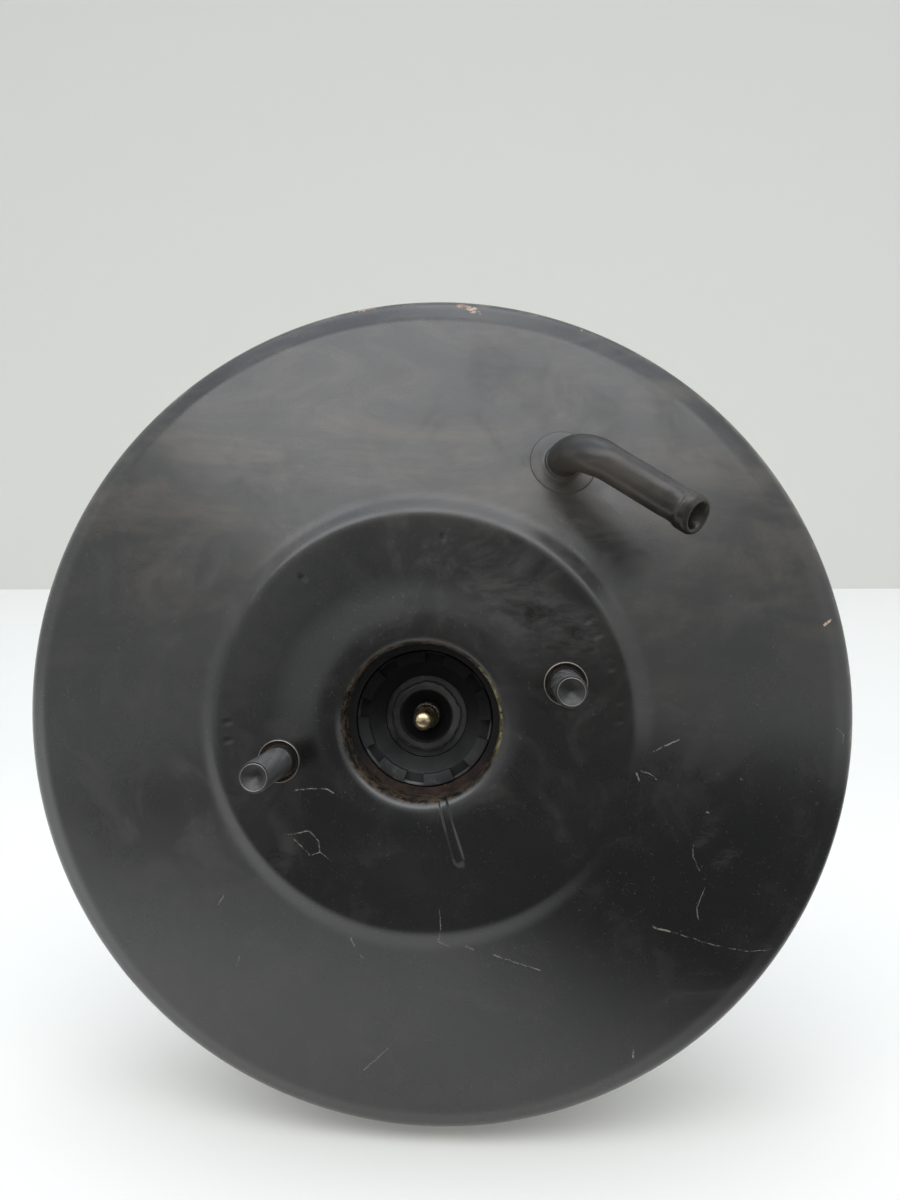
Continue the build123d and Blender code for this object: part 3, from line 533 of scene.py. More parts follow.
def matt(name, dark, pale, rough, grain=420.0, relief=0.02, sheen=0.0, gloss=0.4, painted_shade_at=None):
    """Moulded plastic, rubber, felt or gasket: two close tones, dust and a fine surface."""
    m = Finish(name, Specular_IOR_Level=gloss, Sheen_Weight=sheen)
    fine = m.noise(grain, 6.0, 0.7)
    m.colour = m.tint(m.fit(m.noise(45.0, 5.0, 0.6), 0.35, 0.68), dark, pale)
    m.rough = m.fit(fine, 0.3, 0.7, rough - 0.08, rough + 0.10)
    m.stain(m.fit(fine, 0.55, 0.75), (0.20, 0.19, 0.17), 0.25)
    if painted_shade_at:
        # Painted shade: darker deep inside the bore, or towards the top, with the bottom left
        # paler
        if painted_shade_at == "bore":
            black = m.fit(m.radius(), 0.0079, 0.0068)
        else:
            black = m.fit(m.split(m.place)["Z"], -0.017, 0.008)
        m.stain(black, PAINTED_SHADE_BLACK, 0.93)
        m.dull(black, 0.45)
    m.bump(fine, relief)
    return m.done()


def rust(name):
    """Dark steel with a thin, uneven coat of brown rust, and painted shade towards the top."""
    m = Finish(name, Specular_IOR_Level=0.3)
    cloud = m.noise(110.0, 7.0, 0.7)
    fine = m.noise(900.0, 4.0, 0.7)
    m.colour = m.tint(m.fit(cloud, 0.38, 0.62), (0.016, 0.012, 0.010), (0.048, 0.027, 0.020))
    m.rough = m.fit(fine, 0.3, 0.7, 0.62, 0.9)
    m.stain(m.fit(fine, 0.58, 0.70), (0.13, 0.07, 0.045))
    # Painted shade: darker towards the top, where the hole's upper edge shades the wall
    m.stain(m.fit(m.split(m.place)["Z"], -0.018, -0.008), (0.010, 0.009, 0.009))
    m.bump(cloud, 0.08)
    return m.done()


PAINT = paint("black_paint")
SHELL_PAINT = paint("black_paint_worn", worn=True)
PIPE_PAINT = paint("black_pipe_paint", shine=0.5)
PHOSPHATE = metal("phosphated_steel", (0.062, 0.062, 0.060), rough=0.36,
                  dirt=(0.020, 0.014, 0.010), dirty=0.7, metallic=0.6)
STEEL = metal("bare_steel", (0.50, 0.49, 0.47), rough=0.30, dirt=(0.16, 0.12, 0.09), dirty=0.3)
BRIGHT = metal("worn_collar", (0.36, 0.34, 0.31), rough=0.36, dirt=(0.13, 0.07, 0.04), dirty=0.6)
GOLD = metal("yellow_zinc", (0.70, 0.55, 0.34), rough=0.26, dirt=(0.22, 0.14, 0.08), dirty=0.3)
SPRING = metal("spring_steel", (0.30, 0.30, 0.31), rough=0.34)
RUST = rust("rusty_steel")
PLASTIC = matt("black_plastic", (0.007, 0.0073, 0.0075), (0.016, 0.0163, 0.0165), rough=0.40,
               grain=300.0, relief=0.010)
# The next three carry painted shade: darker towards the top, or deep in the bore
PLASTIC_PAINTED_SHADE_TOP = matt("plastic_painted_shade_top", (0.012, 0.0125, 0.013), (0.030, 0.0305, 0.031), rough=0.42,
                     grain=300.0, relief=0.010, gloss=0.22, painted_shade_at="top")
WORN_PLASTIC_PAINTED_SHADE_TOP = matt("worn_plastic_painted_shade_top", (0.06, 0.06, 0.06), (0.19, 0.19, 0.185), rough=0.5,
                    grain=300.0, relief=0.010, gloss=0.22, painted_shade_at="top")
RUBBER_PAINTED_SHADE_BORE = matt("rubber_painted_shade_bore", (0.009, 0.009, 0.0095), (0.045, 0.045, 0.044), rough=0.50,
                    grain=330.0, relief=0.08, gloss=0.25, painted_shade_at="bore")
GRIME = matt("grime", (0.016, 0.011, 0.008), (0.060, 0.036, 0.022), rough=0.7,
             grain=500.0, relief=0.03)
PHENOLIC = matt("phenolic", (0.055, 0.042, 0.033), (0.085, 0.066, 0.050), rough=0.45)
RUBBER = matt("black_rubber", (0.014, 0.014, 0.0145), (0.032, 0.032, 0.031), rough=0.55,
              grain=260.0, relief=0.03)
GASKET = matt("gasket_paper", (0.10, 0.105, 0.10), (0.17, 0.175, 0.165), rough=0.8,
              grain=800.0, relief=0.04)
FELT = matt("felt", (0.30, 0.285, 0.25), (0.42, 0.40, 0.36), rough=0.95,
            grain=1400.0, relief=0.15, sheen=0.2)
FOAM = matt("foam", (0.05, 0.05, 0.05), (0.10, 0.10, 0.10), rough=0.95, grain=900.0, relief=0.2)
CAD_CREASE = radians(30)
BY_SLOT = dict(black_paint=PAINT, phosphated_steel=PHOSPHATE, bare_steel=STEEL, yellow_zinc=GOLD,
               rusty_steel=RUST, spring_steel=SPRING, black_plastic=PLASTIC, phenolic=PHENOLIC,
               black_rubber=RUBBER, felt=FELT, foam=FOAM, gasket_paper=GASKET)
for part in frame["record"]["subparts"]:
    node = frame["nodes"][part["node"]]
    node.data.materials.clear()
    node.data.materials.append(BY_SLOT[part["material_slot"]])
    node.data.shade_smooth()
    node.data.set_sharp_from_angle(angle=CAD_CREASE)

# =====================================================================
# Shells
# =====================================================================
# Punch marks on the disc: radius, and degrees from X
DIMPLES = [(50.4, 129.6), (49.9, 83.2), (52.5, 31.7), (52.6, 26.5), (52.6, 16.2), (52.8, 6.4),
           (52.6, 1.0), (52.9, 180.4), (53.0, -174.2)]
DIMPLE_RADIUS, DIMPLE_EDGE, DIMPLE_DEPTH = 1.1, 0.9, 0.24
DIMPLE_RIM_RADIUS, DIMPLE_RIM_HALF, DIMPLE_RIM_HEIGHT = 1.35, 0.6, 0.02
GROOVE_ANGLE = ROLL - pi / 2
GROOVE_END, GROOVE_HALF, GROOVE_EDGE, GROOVE_TAPER, GROOVE_DEPTH = 38.0, 1.85, 0.95, 0.02, 0.55
DISC_EDGE, DISC_BACK = 60.0, -92.0
BROAD_WAVE, FINE_WAVE, REAR_WAVE = 0.07, 0.04, 0.06


def press(radius, station, angle):
    """The drain groove, the punch marks and the faint waves of the pressed sheet."""
    x, z = radius * np.cos(angle), radius * np.sin(angle)
    face = smooth((DISC_EDGE - radius) / 2) * smooth((DISC_BACK - station) / 4)
    for far, turned in DIMPLES:
        away = np.hypot(x - far * cos(radians(turned)), z - far * sin(radians(turned)))
        dent = DIMPLE_DEPTH * smooth((DIMPLE_RADIUS - away) / DIMPLE_EDGE)
        rim = DIMPLE_RIM_HEIGHT * smooth(1 - abs(away - DIMPLE_RIM_RADIUS) / DIMPLE_RIM_HALF)
        station = station + face * (dent - rim)
    down = x * cos(GROOVE_ANGLE) + z * sin(GROOVE_ANGLE)
    across = -x * sin(GROOVE_ANGLE) + z * cos(GROOVE_ANGLE)
    away = np.hypot(across, np.maximum(down - GROOVE_END, 0))
    half = GROOVE_HALF - GROOVE_TAPER * np.maximum(GROOVE_END - down, 0)
    trench = smooth((half - away) / GROOVE_EDGE) * (down > 0) * face
    station = station + GROOVE_DEPTH * trench
    wave = (BROAD_WAVE * np.sin(x / 17 + 1.3) * np.sin(z / 21 + 0.4)
            + FINE_WAVE * np.sin(x / 8.3 - z / 11.7))
    station = station + wave * smooth((radius - 23) / 6) * smooth((118 - radius) / 6)
    return radius, station


front_outline = [(PILOT_RADIUS, -91), (PILOT_RADIUS, -100.3), (27.4, -101.4), (38, FRONT),
                 (56.7, FRONT), (61.2, -97.26), (114.5, -81), (SHELL_RADIUS, -76.5),
                 (SHELL_RADIUS, -55.5), (RIM_RADIUS, -55.5), (RIM_RADIUS, -46.7)]
front_bends = [3.2, 20.0, 50.0, 4.5, 11.5, 10.0, 7.0, 1.5, 2.2]
front_loop = sheet_loop(front_outline, front_bends, SHEET, step=0.9)
front_shell = lathe("shell_front", front_loop, SHELL_PAINT, segments=720, warp=press, crease=50)
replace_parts(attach(front_shell, "booster"), "front_shell")

LUG_OUTLINE = [(121.35, -48.1), (125.2, -48.1), (125.2, -46.75), (121.9, -46.75), (121.35, -47.3)]
LUGS, LUG_RADIUS, LUG_HALF = 8, 124.5, 7.0
half_lug = degrees(LUG_HALF / LUG_RADIUS)
lugs = [turn(LUG_OUTLINE, 10, arc=(middle - half_lug, middle + half_lug))
        for middle in round_row(LUGS)]
lug_ring = finish_mesh("rim_lugs", *merged(lugs), PAINT)
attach(lug_ring, "booster")

rear_outline = [(124.6, -48.3), (118.5, -48.3), (118.5, -23), (60, -1), (NECK_RADIUS, -1),
                (NECK_RADIUS, NECK_END), (22.8, NECK_END)]
rear_bends = [1.5, 10.0, 6.0, 3.0, 2.5]


def dish(radius, station, angle):
    """The faint waves of the pressed sheet outside the land round the neck."""
    wave = REAR_WAVE * np.sin(3 * angle + 0.7) * np.sin(radius / 13)
    return radius, station + wave * smooth((radius - 64) / 10) * smooth((112 - radius) / 8)


rear_loop = sheet_loop(rear_outline, rear_bends, SHEET, step=2.0)
rear_shell = lathe("shell_rear", rear_loop, PAINT, segments=480, warp=dish, crease=50)
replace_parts(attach(rear_shell, "booster"), "rear_shell")

# =====================================================================
# Studs
# =====================================================================
STUD_RADIUS, PITCH, THREAD_DEPTH = 4.0, 1.25, 0.62
THREAD_START = 1.4
STUD_CHAMFER = 0.28
# The cup in a stud's tip: shares of the stud's radius, each with its depth
STUD_CUP = [(0.87, 0.0), (0.80, 0.1), (0.42, 1.3), (0.04, 2.3)]
HEAD_RADIUS, HEAD_HEIGHT = 6.5, 3.5
FRONT_STUD_OUT, REAR_STUD_CIRCLE = 40.0, 45


def threaded(base, end, around=48, per_turn=10):
    """An M8 bar from `base` to `end` along +Y, with a plain root, a thread and a cupped tip."""
    angles = np.arange(around) * 2 * pi / around
    length = end - THREAD_START
    layers = []
    for y in [base] + list(np.linspace(THREAD_START, end, int(length / PITCH * per_turn))):
        t = (y - THREAD_START) / length if y != base else 0
        fade = smooth(t / 0.06) * smooth((1 - t) / 0.04)
        phase = ((y - THREAD_START) / PITCH - angles / (2 * pi)) % 1.0
        cut = THREAD_DEPTH * np.clip(1.35 * (1 - np.abs(2 * phase - 1)) - 0.12, 0, 1) * fade
        layers.append((STUD_RADIUS - cut - STUD_CHAMFER * smooth((t - 0.965) / 0.035), y))
    layers += [(STUD_RADIUS * share, end - depth) for share, depth in STUD_CUP]
    vertices = [np.stack([r * np.cos(angles), np.full(around, y), r * np.sin(angles)], axis=1)
                for r, y in layers]
    # These rings are wound the other way, so the faces are turned over
    faces = [f[:1] + f[:0:-1] for f in tube_faces(len(layers), around)]
    return np.concatenate(vertices), faces


def stud_set(name, node, places, under_head, face, length, flip):
    """Studs of one kind: head inside, plain root, thread and cupped tip outside."""
    head_outline = rounded(ring(0, HEAD_RADIUS, 0, HEAD_HEIGHT), [0.5, 0.5], 3)
    head_front = under_head if flip else under_head - HEAD_HEIGHT
    parts = []
    for x, up in places:
        bar = threaded(-abs(face - under_head), length)
        parts.append(placed(bar, local(x, up, face), flip))
        parts.append(placed(turn(head_outline, 48), local(x, up, head_front)))
    studs = finish_mesh(name, *merged(parts), PHOSPHATE, crease=40)
    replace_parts(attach(studs, "booster"), node)


front_places = [(-FRONT_STUD_OUT, 0.0), (FRONT_STUD_OUT, 0.0)]
stud_set("studs_front", "cylinder_studs", front_places, under_head=-95.9, face=FRONT,
         length=24.45, flip=True)
rear_places = [(REAR_STUD_CIRCLE * cos(radians(a)), REAR_STUD_CIRCLE * sin(radians(a)))
               for a in (45, 135, 225, 315)]
stud_set("studs_rear", "bulkhead_studs", rear_places, under_head=-4.6, face=0.0,
         length=24.0, flip=False)

# Thin collars round the front studs, and the worn edge of each tip
rim_loop = [(5.35, -0.4), (5.35, 0.75), (5.45, 0.98), (5.6, 1.05), (5.75, 0.98), (5.85, 0.7),
            (5.95, -0.2)]
inner_rim_loop = [(4.75, -0.4), (4.75, 0.35), (4.9, 0.5), (5.05, 0.35), (5.05, -0.4)]
worn_tip_loop = [(3.2, 24.2), (3.2, 24.42), (3.28, 24.49), (3.4, 24.49), (3.5, 24.4), (3.5, 24.2)]
web_ring = ring(4.1, 5.4, -0.4, 0.12)
for name, loops, material in (("stud_collars", (rim_loop, inner_rim_loop, worn_tip_loop), BRIGHT),
                              ("stud_collar_webs", (web_ring,), GRIME)):
    rings = [placed(turn(loop, 96), local(x, up, FRONT), True)
             for x, up in front_places for loop in loops]
    collars = finish_mesh(name, *merged(rings), material, crease=60)
    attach(collars, "booster")

# =====================================================================
# Vacuum pipe
# =====================================================================
CONE_SLOPE = atan2(15.4, 55.0)
CONE_RADIUS, CONE_STATION = 59.5, -96.4
FOOT_ANGLE, FOOT_RADIUS = radians(46.0) + ROLL, 80.3
RUN_ANGLE, RUN_ACROSS, RUN_FORWARD = radians(-49.8) + ROLL, 36.5, 8.0
PIPE_ROOT, PIPE_RISE, PIPE_BEND, PIPE_RADIUS, PIPE_BORE = 3.5, 15.0, 14.0, 4.8, 3.6
PIPE_WIDENED, PIPE_FLATTENED, PIPE_ASLANT = 0.10, 0.05, 0.42
WAIST_DEPTH, BEAD_HEIGHT, EDGE_DROP = 0.12, 0.5, 0.42
outward = Vector((cos(FOOT_ANGLE), 0, sin(FOOT_ANGLE)))
pipe_up = outward * sin(CONE_SLOPE) - Vector((0, cos(CONE_SLOPE), 0))
foot_station = CONE_STATION + (FOOT_RADIUS - CONE_RADIUS) * tan(CONE_SLOPE)
pipe_foot = outward * FOOT_RADIUS + Vector((0, foot_station, 0))
pipe_corner = pipe_foot + pipe_up * PIPE_RISE
pipe_run = Vector((cos(RUN_ANGLE) * RUN_ACROSS, -RUN_FORWARD, sin(RUN_ANGLE) * RUN_ACROSS))
pipe_tip = pipe_corner + pipe_run


def bent_line(start, corner, end, bend, step):
    """Places along a line with one bend, how far each is into the bend, and the bend's axis."""
    a, b, centre, swing = bend_at(start, corner, end, bend)
    cuts = ceil((a - start).length / step)
    line = [(start.lerp(a, k / cuts), 0.0) for k in range(cuts)]
    cuts = ceil(bend * swing / step * 2)
    line += [(centre + (a - centre).slerp(b - centre, k / cuts) * bend, sin(pi * k / cuts))
             for k in range(cuts)]
    cuts = ceil((end - b).length / step)
    line += [(b.lerp(end, k / cuts), 0.0) for k in range(cuts + 1)]
    axis = (start - corner).normalized().cross((end - corner).normalized()).normalized()
    return *zip(*line), axis


def pipe_mesh(around=64):
    """The pipe: flattened a little in its bend, with a rolled bead and an open end."""
    root = pipe_foot - pipe_up * PIPE_ROOT
    places, turned, axis = bent_line(root, pipe_corner, pipe_tip, PIPE_BEND, step=0.7)
    gone = [0.0]
    for p, q in zip(places, places[1:]):
        gone.append(gone[-1] + (q - p).length)
    total = gone[-1]
    eased = [smooth(sum(turned[max(0, i - 5):i + 6]) / 7.5) for i in range(len(turned))]
    angles = np.arange(around) * 2 * pi / around
    rings = []

    def ring_at(i, radius, shift=0.0):
        ahead = (places[min(i + 1, len(places) - 1)] - places[max(i - 1, 0)]).normalized()
        side = ahead.cross(axis).normalized()
        across = radius * (1 + PIPE_WIDENED * eased[i])
        thick = radius * (1 - PIPE_FLATTENED * eased[i])
        centre = np.array(places[i] + ahead * shift)
        spokes = np.outer(np.cos(angles) * across, axis) + np.outer(np.sin(angles) * thick, side)
        # The end is cut aslant, so that its mouth looks forwards a little
        aslant = PIPE_ASLANT * float(smooth((6.0 - total + gone[i]) / 6.0))
        rings.append(centre + spokes + np.outer(spokes[:, 1] * aslant, ahead))

    for i, far in enumerate(gone):
        rest = total - far
        waist = WAIST_DEPTH * float(smooth(1 - abs(rest - 6.6) / 2.2))
        bead = BEAD_HEIGHT * float(smooth((4.9 - rest) / 1.3))
        edge = EDGE_DROP * float(smooth((0.8 - rest) / 0.8))
        ring_at(i, PIPE_RADIUS - waist + (bead - edge))
    last = len(places) - 1
    for radius, shift in ((4.55, 0.12), (4.1, 0.16), (3.75, 0.05), (PIPE_BORE, -0.3)):
        ring_at(last, radius, shift)
    for i in range(last - 1, -1, -3):
        ring_at(i, PIPE_BORE)
    return np.concatenate(rings), tube_faces(len(rings), around, closed=True)


pipe = finish_mesh("vacuum_elbow", *pipe_mesh(), PIPE_PAINT, crease=50)
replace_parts(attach(pipe, "booster"), "vacuum_pipe")

flange_loop = rounded(ring(4.85, 9.3, -0.4, 1.2), [0.3, 0.5], 2.0)
fillet_loop = [(4.7, 1.1), (6.1, 1.15), (5.35, 1.45), (4.95, 2.2), (4.7, 2.3)]
flange_parts = [along(turn(flange_loop, 96), pipe_foot, pipe_up),
                along(turn(fillet_loop, 64), pipe_foot, pipe_up)]
flange = finish_mesh("elbow_flange", *merged(flange_parts), PAINT)
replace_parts(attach(flange, "booster"), "pipe_flange")

# =====================================================================
# Pilot hole: retainer, seal and output rod
# =====================================================================
BLOCKS, BLOCK_OFFSET = 8, -2.5
BLOCK_INNER, BLOCK_OUTER, BLOCK_BACK = 15.5, 18.75, -88.6
BLOCK_RADIUS, BLOCK_HALF = 17.2, 4.1
half_block = degrees(BLOCK_HALF / BLOCK_RADIUS)
half_gap = 180 / BLOCKS - 0.1 - half_block

retainer_loop = rounded([(11.65, -85.0), (15.6, -88.45), (18.8, -88.55), (27.5, -88.5),
                         (27.5, RETAINER_BACK), (14.8, RETAINER_BACK), (14.8, -78.0),
                         (11.65, -78.0)], [0.3, 0.1, 0.4, 0.4, 0.3, 0.3], 1.0)
# The blocks' front faces slope inwards
block_loop = [(BLOCK_INNER, BLOCK_BACK), (BLOCK_OUTER, BLOCK_BACK), (BLOCK_OUTER, -91.0),
              (BLOCK_OUTER - 0.25, -91.2), (BLOCK_INNER + 0.2, -90.75), (BLOCK_INNER, -90.6)]
ledge_loop = [(18.2, BLOCK_BACK), (18.7, BLOCK_BACK), (18.7, -90.0), (18.35, -90.1), (18.2, -89.7)]
pieces = [turn(retainer_loop, 180)]
pieces += [turn(block_loop, 8, arc=(middle - half_block, middle + half_block))
           for middle in round_row(BLOCKS, BLOCK_OFFSET)]
retainer = finish_mesh("seal_retainer_ring", *merged(pieces), PLASTIC_PAINTED_SHADE_TOP, crease=30)
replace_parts(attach(retainer, "booster"), "seal_retainer")
ledges = [turn(ledge_loop, 6, arc=(middle - half_gap, middle + half_gap))
          for middle in round_row(BLOCKS, BLOCK_OFFSET + 180 / BLOCKS)]
ledge_ring = finish_mesh("seal_retainer_ledges", *merged(ledges), WORN_PLASTIC_PAINTED_SHADE_TOP, crease=30)
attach(ledge_ring, "booster")


def ragged(radius, station, angle):
    """The torn, uneven outer edge of the rubber's lip."""
    torn = (0.20 * np.sin(5 * angle + 1.1) + 0.16 * np.sin(11 * angle) * np.sin(3 * angle + 0.6)
            + 0.11 * np.sin(23 * angle + 2.0))
    near = smooth(1 - abs(radius - 9.5) / 0.9) * smooth((-83.2 - station) / 0.8)
    return radius + torn * near, station + 0.5 * torn * near


seal_loop = rounded([(7.6, -84.9), (8.9, -85.5), (9.6, -85.3), (9.8, -83.9), (10.9, -83.9),
                     (11.5, -84.6), (11.5, -78.1), (10.0, -78.1), (10.0, -81.8), (3.8, -78.1),
                     (3.8, -79.7), (7.6, -83.4)],
                    [0.4, 0.25, 0.1, 0.4, 0.1, 0.2, 0.5, 0.4, 0.2, 0.2], 0.25)
seal = lathe("cup_seal", seal_loop, RUBBER_PAINTED_SHADE_BORE, segments=360, warp=ragged)
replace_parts(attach(seal, "booster"), "front_seal")

ROD_FRONT = -84.0
rod_loop = [(0, ROD_FRONT), (2.7, ROD_FRONT), (3.0, ROD_FRONT), (3.45, -83.8), (3.75, -83.4),
            (3.75, -38), (12, -38), (12, -34), (0, -34)]
rod = lathe("output_rod_shank", rod_loop, STEEL, 96)
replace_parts(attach(rod, "power_piston"), "output_rod")
DOME_RADIUS, DOME_CENTRE = 2.85, -93.65
dome = [(DOME_RADIUS * sin(k * pi / 20), DOME_CENTRE - DOME_RADIUS * cos(k * pi / 20))
        for k in range(11)]
tip_loop = dome + rounded([(DOME_RADIUS, -93.6), (DOME_RADIUS, -91.0), (2.5, -90.6), (2.5, -86.6),
                           (2.9, -86.2), (3.3, -85.4), (3.3, ROD_FRONT)],
                          [0.2, 0.2, 0.2, 0.2, 0.3], 0.3) + [(0, ROD_FRONT)]
tip = lathe("output_rod_tip", tip_loop, GOLD, 96)
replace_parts(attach(tip, "power_piston"), "rod_tip")

# =====================================================================
# Springs and diaphragm, which change shape as the piston moves, built here in one shape
# =====================================================================


def coil(radius, wire, turns, front, back, around=14, per_turn=48):
    """Coil spring with closed ends, between two stations."""
    low, high = front + wire / 2, back - wire / 2
    t = np.linspace(-1, turns + 1, int((turns + 2) * per_turn))
    rise = np.clip(t / turns, 0, 1)
    soft = 0.5 * wire / (high - low)
    ends = np.clip(t, -1, 0) + np.clip(t - turns, 0, 1)
    station = low + (high - low) * (rise * (1 - 2 * soft) + soft + soft * ends)
    turned = np.arange(around) * 2 * pi / around
    r = radius + wire / 2 * np.cos(turned)
    rings = [np.stack([r * cos(a), y + wire / 2 * np.sin(turned), r * sin(a)], axis=1)
             for y, a in zip(station, 2 * pi * t)]
    return np.concatenate(rings), tube_faces(len(rings), around)


big_coil = coil(radius=24.0, wire=4.0, turns=6, front=RETAINER_BACK, back=PISTON_FRONT)
spring = finish_mesh("piston_spring", *big_coil, SPRING)
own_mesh(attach(spring, "booster"))
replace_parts(spring, "return_spring")

# The input spring ends just short of its collar, which tilts with the rod
small_coil = coil(radius=10.6, wire=1.6, turns=6, front=SPRING_SEAT, back=SPRING_TOP, per_turn=40)
small_spring = finish_mesh("rod_spring", *small_coil, SPRING)
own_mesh(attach(small_spring, "power_piston"))
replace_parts(small_spring, "input_spring")

RUBBER_SHEET, PLATE_FACE = 1.6, -12.8
FOLD_FRONT, FOLD_MIDDLE, FOLD_BEND = -71.9, 107.65, 12.1
PLATE_LEG = -36.0
BEAD_FRONT = -53.9
web_loop = sheet_loop([(20, PLATE_FACE), (42.2, PLATE_FACE), (95.2, -28.1), (95.2, PLATE_LEG)],
                      [8.0, 6.0], RUBBER_SHEET, 2.5)
web_parts = [turn(web_loop, 180), turn(ring(20.0, 24.4, PLATE_FACE, -9.8), 120)]
web = finish_mesh("diaphragm_web", *merged(web_parts), RUBBER)
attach(web, "power_piston")
# The fold stands clear of the plate's rim, which slides along inside it
inner_loop = sheet_loop([(95.55, PLATE_LEG), (95.55, FOLD_FRONT), (FOLD_MIDDLE, FOLD_FRONT)],
                        [FOLD_BEND], RUBBER_SHEET, 1.5)
inner_fold = lathe("diaphragm_inner_fold", inner_loop, RUBBER)
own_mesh(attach(inner_fold, "booster"))
outer_loop = sheet_loop([(FOLD_MIDDLE, FOLD_FRONT), (120.1, FOLD_FRONT), (120.1, BEAD_FRONT),
                         (123.0, BEAD_FRONT)], [FOLD_BEND, 2.0], RUBBER_SHEET, 1.5)
outer_parts = [turn(outer_loop, 180), turn(ring(120.5, 124.1, BEAD_FRONT, -49.9), 180)]
outer_fold = finish_mesh("diaphragm_outer_fold", *merged(outer_parts), RUBBER)
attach(outer_fold, "booster")
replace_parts(web, "diaphragm")

# =====================================================================
# Neck and dust boot
# =====================================================================
BOOT_WALL = 1.4
CUFF_INNER = 27.05
CUFF_OUTER = CUFF_INNER + BOOT_WALL
CAP_INNER, CAP_OUTER = 19.55, 20.95
CREST, ROOT, BOOT_FOLDS, FOLD_ROUND = 29.6, 22.6, 4, 1.9
fold_from, fold_to = NECK_END + BOOT_WALL, TAIL_END - 5.0
pitch = (fold_to - fold_from) / BOOT_FOLDS
fold_outline = [(CUFF_OUTER, fold_from - 1.4), (CUFF_OUTER, fold_from),
                (ROOT, fold_from + pitch / 2)]
for k in range(1, BOOT_FOLDS):
    fold_outline += [(CREST, fold_from + k * pitch), (ROOT, fold_from + (k + 0.5) * pitch)]
fold_outline += [(28.2, fold_to), (CAP_OUTER, fold_to + 1.4)]
fold_bends = [FOLD_ROUND] * (len(fold_outline) - 2)
fold_loop = sheet_loop(fold_outline, fold_bends, BOOT_WALL, 0.8)
folds = lathe("boot_folds", fold_loop, RUBBER, 144, crease=60)
cuff_loop = rounded([(CUFF_INNER, 30.0), (CUFF_OUTER, 30.0), (29.0, 31.2), (29.0, 33.0),
                     (CUFF_OUTER, 34.2), (CUFF_OUTER, 38.05), (CUFF_INNER, 38.05)],
                    [0.4, 0.5, 0.5, 0.6, 0.1], 0.6)
cuff = lathe("boot_cuff", cuff_loop, RUBBER, 144)
cap_loop = rounded([(CAP_OUTER, fold_to + 1.35), (CAP_OUTER, 87.7), (9.0, 87.7), (9.0, 86.3),
                    (CAP_INNER, 86.3), (CAP_INNER, fold_to + 1.35)], [1.7, 0.4, 0.4, 0.2], 0.8)
cap = lathe("boot_cap", cap_loop, RUBBER, 144)
AIR_HOLES, AIR_HOLE_RADIUS, AIR_HOLE_CIRCLE = 6, 1.8, 12.72


def perforate(thing, places, radius, front, back):
    """Round holes cut through along Y."""
    tools = [placed(turn(ring(0, radius, front, back), 32), place) for place in places]
    cutter = finish_mesh(thing.name + "_cutter", *merged(tools), RUBBER)
    cut = thing.modifiers.new("holes", "BOOLEAN")
    cut.object = cutter
    cut.solver = "EXACT"
    bpy.context.view_layer.update()
    graph = bpy.context.evaluated_depsgraph_get()
    mesh = bpy.data.meshes.new_from_object(thing.evaluated_get(graph), depsgraph=graph)
    thing.modifiers.clear()
    thing.data = mesh
    bpy.data.objects.remove(cutter)


air_holes = []
for k in range(AIR_HOLES):
    angle = 2 * pi * k / AIR_HOLES
    air_holes.append(local(AIR_HOLE_CIRCLE * cos(angle), AIR_HOLE_CIRCLE * sin(angle), 0))
perforate(cap, air_holes, AIR_HOLE_RADIUS, front=85.5, back=88.5)
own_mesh(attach(folds, "booster"))
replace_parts(folds, "dust_boot")
for piece, body in ((cuff, "booster"), (cap, "power_piston")):
    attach(piece, body)

# =====================================================================
# Camera, stage and light
# =====================================================================
CAMERA_PLACE = (0.0245, -0.3403, 0.0304)
CAMERA_RIGHT = (0.997588, 0.069406, 0.000716)
CAMERA_AHEAD = (-0.069410, 0.997535, 0.010294)
camera = linked("camera", bpy.data.cameras.new("camera"))
bpy.context.scene.camera = camera
camera.data.lens = 27.0
camera.data.sensor_width = 36.0
camera.data.clip_start = 0.01
camera.data.clip_end = 30.0
right = Vector(CAMERA_RIGHT).normalized()
ahead = Vector(CAMERA_AHEAD).normalized()
ahead = (ahead - right * ahead.dot(right)).normalized()
facing = Matrix((right, right.cross(ahead), -ahead)).transposed().to_4x4()
camera.matrix_world = Matrix.Translation(CAMERA_PLACE) @ facing

FLOOR, FLAT_END = -0.1266, 0.55
WALL_FOOT, WALL_TOP = (1.60, 0.074), 4.0
STAGE_HALF = 4.0


def stage_sheet(name, line, material):
    """A wide sheet through (y, z) places."""
    vertices = [(x, y, z) for y, z in line for x in (-STAGE_HALF, STAGE_HALF)]
    faces = [(2 * i, 2 * i + 1, 2 * i + 3, 2 * i + 2) for i in range(len(line) - 1)]
    mesh = bpy.data.meshes.new(name)
    mesh.from_pydata(vertices, [], faces)
    mesh.shade_smooth()
    mesh.materials.append(material)
    linked(name, mesh)


def plain(name, tone, glow):
    """Matt stage surface, lighter to the camera than the lamp leaves it, with painted shade near
    the camera that shows only in reflections.
    """
    m = Finish(name, Specular_IOR_Level=0.1)
    path = m.add("ShaderNodeLightPath").outputs
    x, y, _ = m.split(m.place)
    aside = m.times(m.calc("MAXIMUM", x, 0.0), 0.9)
    # Painted shade seen only in reflections: the floor before the camera, towards its right, is
    # darkened for glossy rays
    near = m.times(m.fit(m.calc("SUBTRACT", aside, y), 0.11, 0.25),
                   m.fit(x, -0.6, -0.2, 0.45, 1.0), m.fit(x, 0.4, 0.9, 1.0, 0.2),
                   path["Is Glossy Ray"])
    m.colour = m.tint(near, tone, tuple(0.12 * c for c in tone))
    m.rough = 0.9
    seen = m.calc("ADD", m.calc("ADD", path["Is Camera Ray"], path["Is Glossy Ray"]),
                  path["Is Transmission Ray"])
    m.put(m.shader["Emission Color"], m.colour)
    m.put(m.shader["Emission Strength"], m.times(seen, glow))
    return m.done()


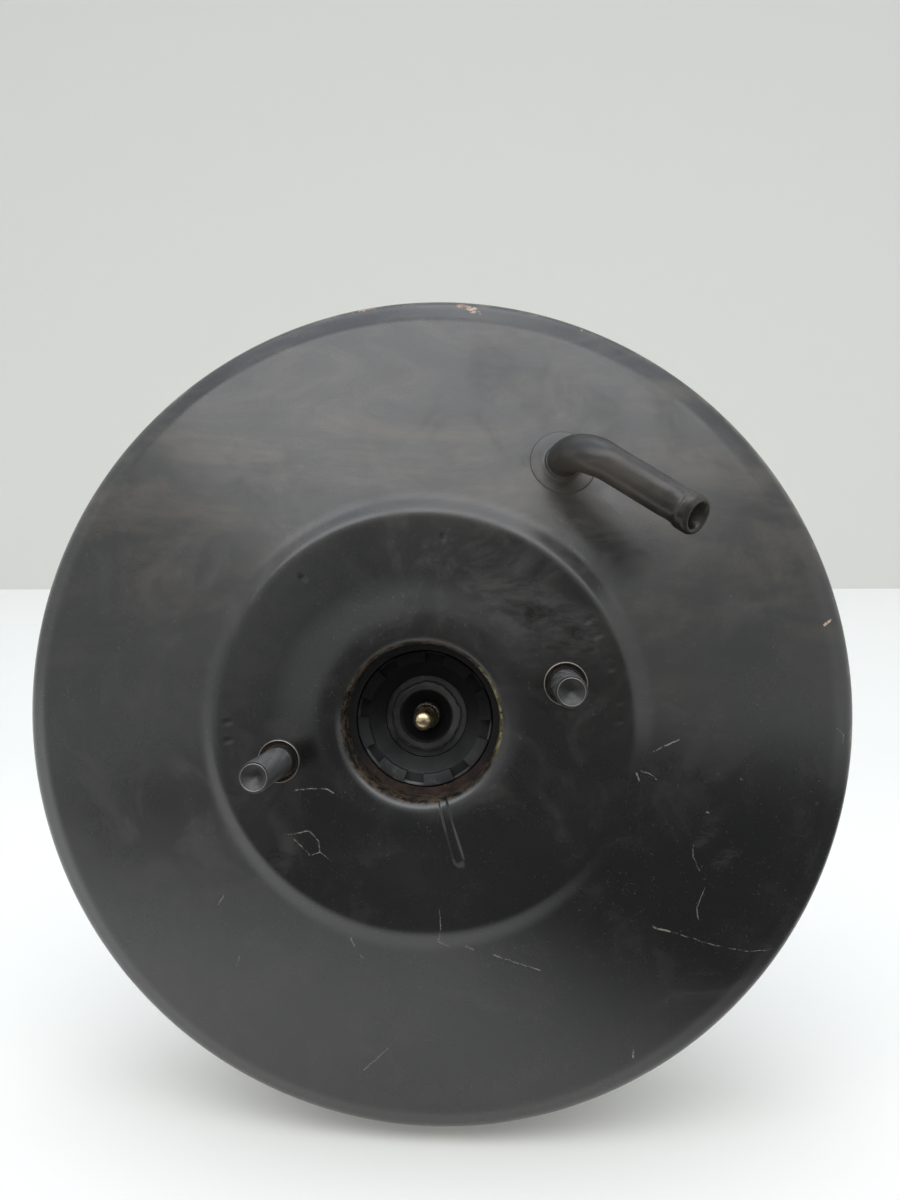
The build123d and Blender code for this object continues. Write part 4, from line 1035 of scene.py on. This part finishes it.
# The floor is flat under the object and then rises gently to the foot of the wall
ramp = [(-1.5, FLOOR), (FLAT_END, FLOOR)]
for k in range(1, 11):
    t = k / 10
    ramp.append((FLAT_END + (WALL_FOOT[0] - FLAT_END) * t,
                 FLOOR + (WALL_FOOT[1] - FLOOR) * (t * t * (2 - t))))
stage_sheet("floor", ramp, plain("floor_white", (0.80, 0.80, 0.765), 0.20))
stage_sheet("wall", [(WALL_FOOT[0], WALL_FOOT[1] - 0.02), (WALL_FOOT[0], WALL_TOP)],
            plain("wall_grey", (0.60, 0.60, 0.565), 0.28))

LAMP_PLACE, LAMP_TARGET = Vector((0.0, -0.95, 1.05)), Vector((0, -0.08, 0))
lamp = linked("sky", bpy.data.lights.new("sky", "AREA"))
lamp.data.shape = "RECTANGLE"
lamp.data.size, lamp.data.size_y = 2.6, 0.75
lamp.data.energy = 12.5
lamp.location = LAMP_PLACE
lamp.rotation_mode = "QUATERNION"
lamp.rotation_quaternion = (LAMP_TARGET - LAMP_PLACE).to_track_quat("-Z", "Y")

# The world is brighter overhead, and dim behind the camera, a little to its right
CAMERA_SEES = 0.72
world = bpy.data.worlds.new("studio")
bpy.context.scene.world = world
world.use_nodes = True
n = Nodes(world.node_tree)
x, y, z = n.split(n.add("ShaderNodeTexCoord").outputs["Generated"])
dome = n.calc("ADD", n.fit(z, 0.0, 0.7, 0.72, 0.88), n.fit(z, 0.70, 0.92, 0.0, 0.55))
dome = n.calc("ADD", dome, n.fit(z, 0.972, 0.994, 0.0, 1.3))
beside = n.calc("ABSOLUTE", n.calc("SUBTRACT", x, 0.20))
dim = n.times(n.fit(beside, 0.56, 0.20), n.fit(z, 0.42, 0.02), n.fit(y, -0.2, -0.6))
dome = n.times(dome, n.fit(dim, 0.0, 1.0, 1.0, 0.12))
camera_ray = n.add("ShaderNodeLightPath").outputs["Is Camera Ray"]
level = n.add("ShaderNodeMix", {0: camera_ray, 2: dome, 3: CAMERA_SEES}, data_type="FLOAT")
background = world.node_tree.nodes["Background"].inputs
n.put(background["Strength"], level.outputs[0])
n.put(background["Color"], n.tint(n.fit(z, 0.35, 0.85), (0.95, 0.97, 0.985), (0.90, 0.95, 1.05)))
bpy.context.scene.view_settings.view_transform = "Standard"
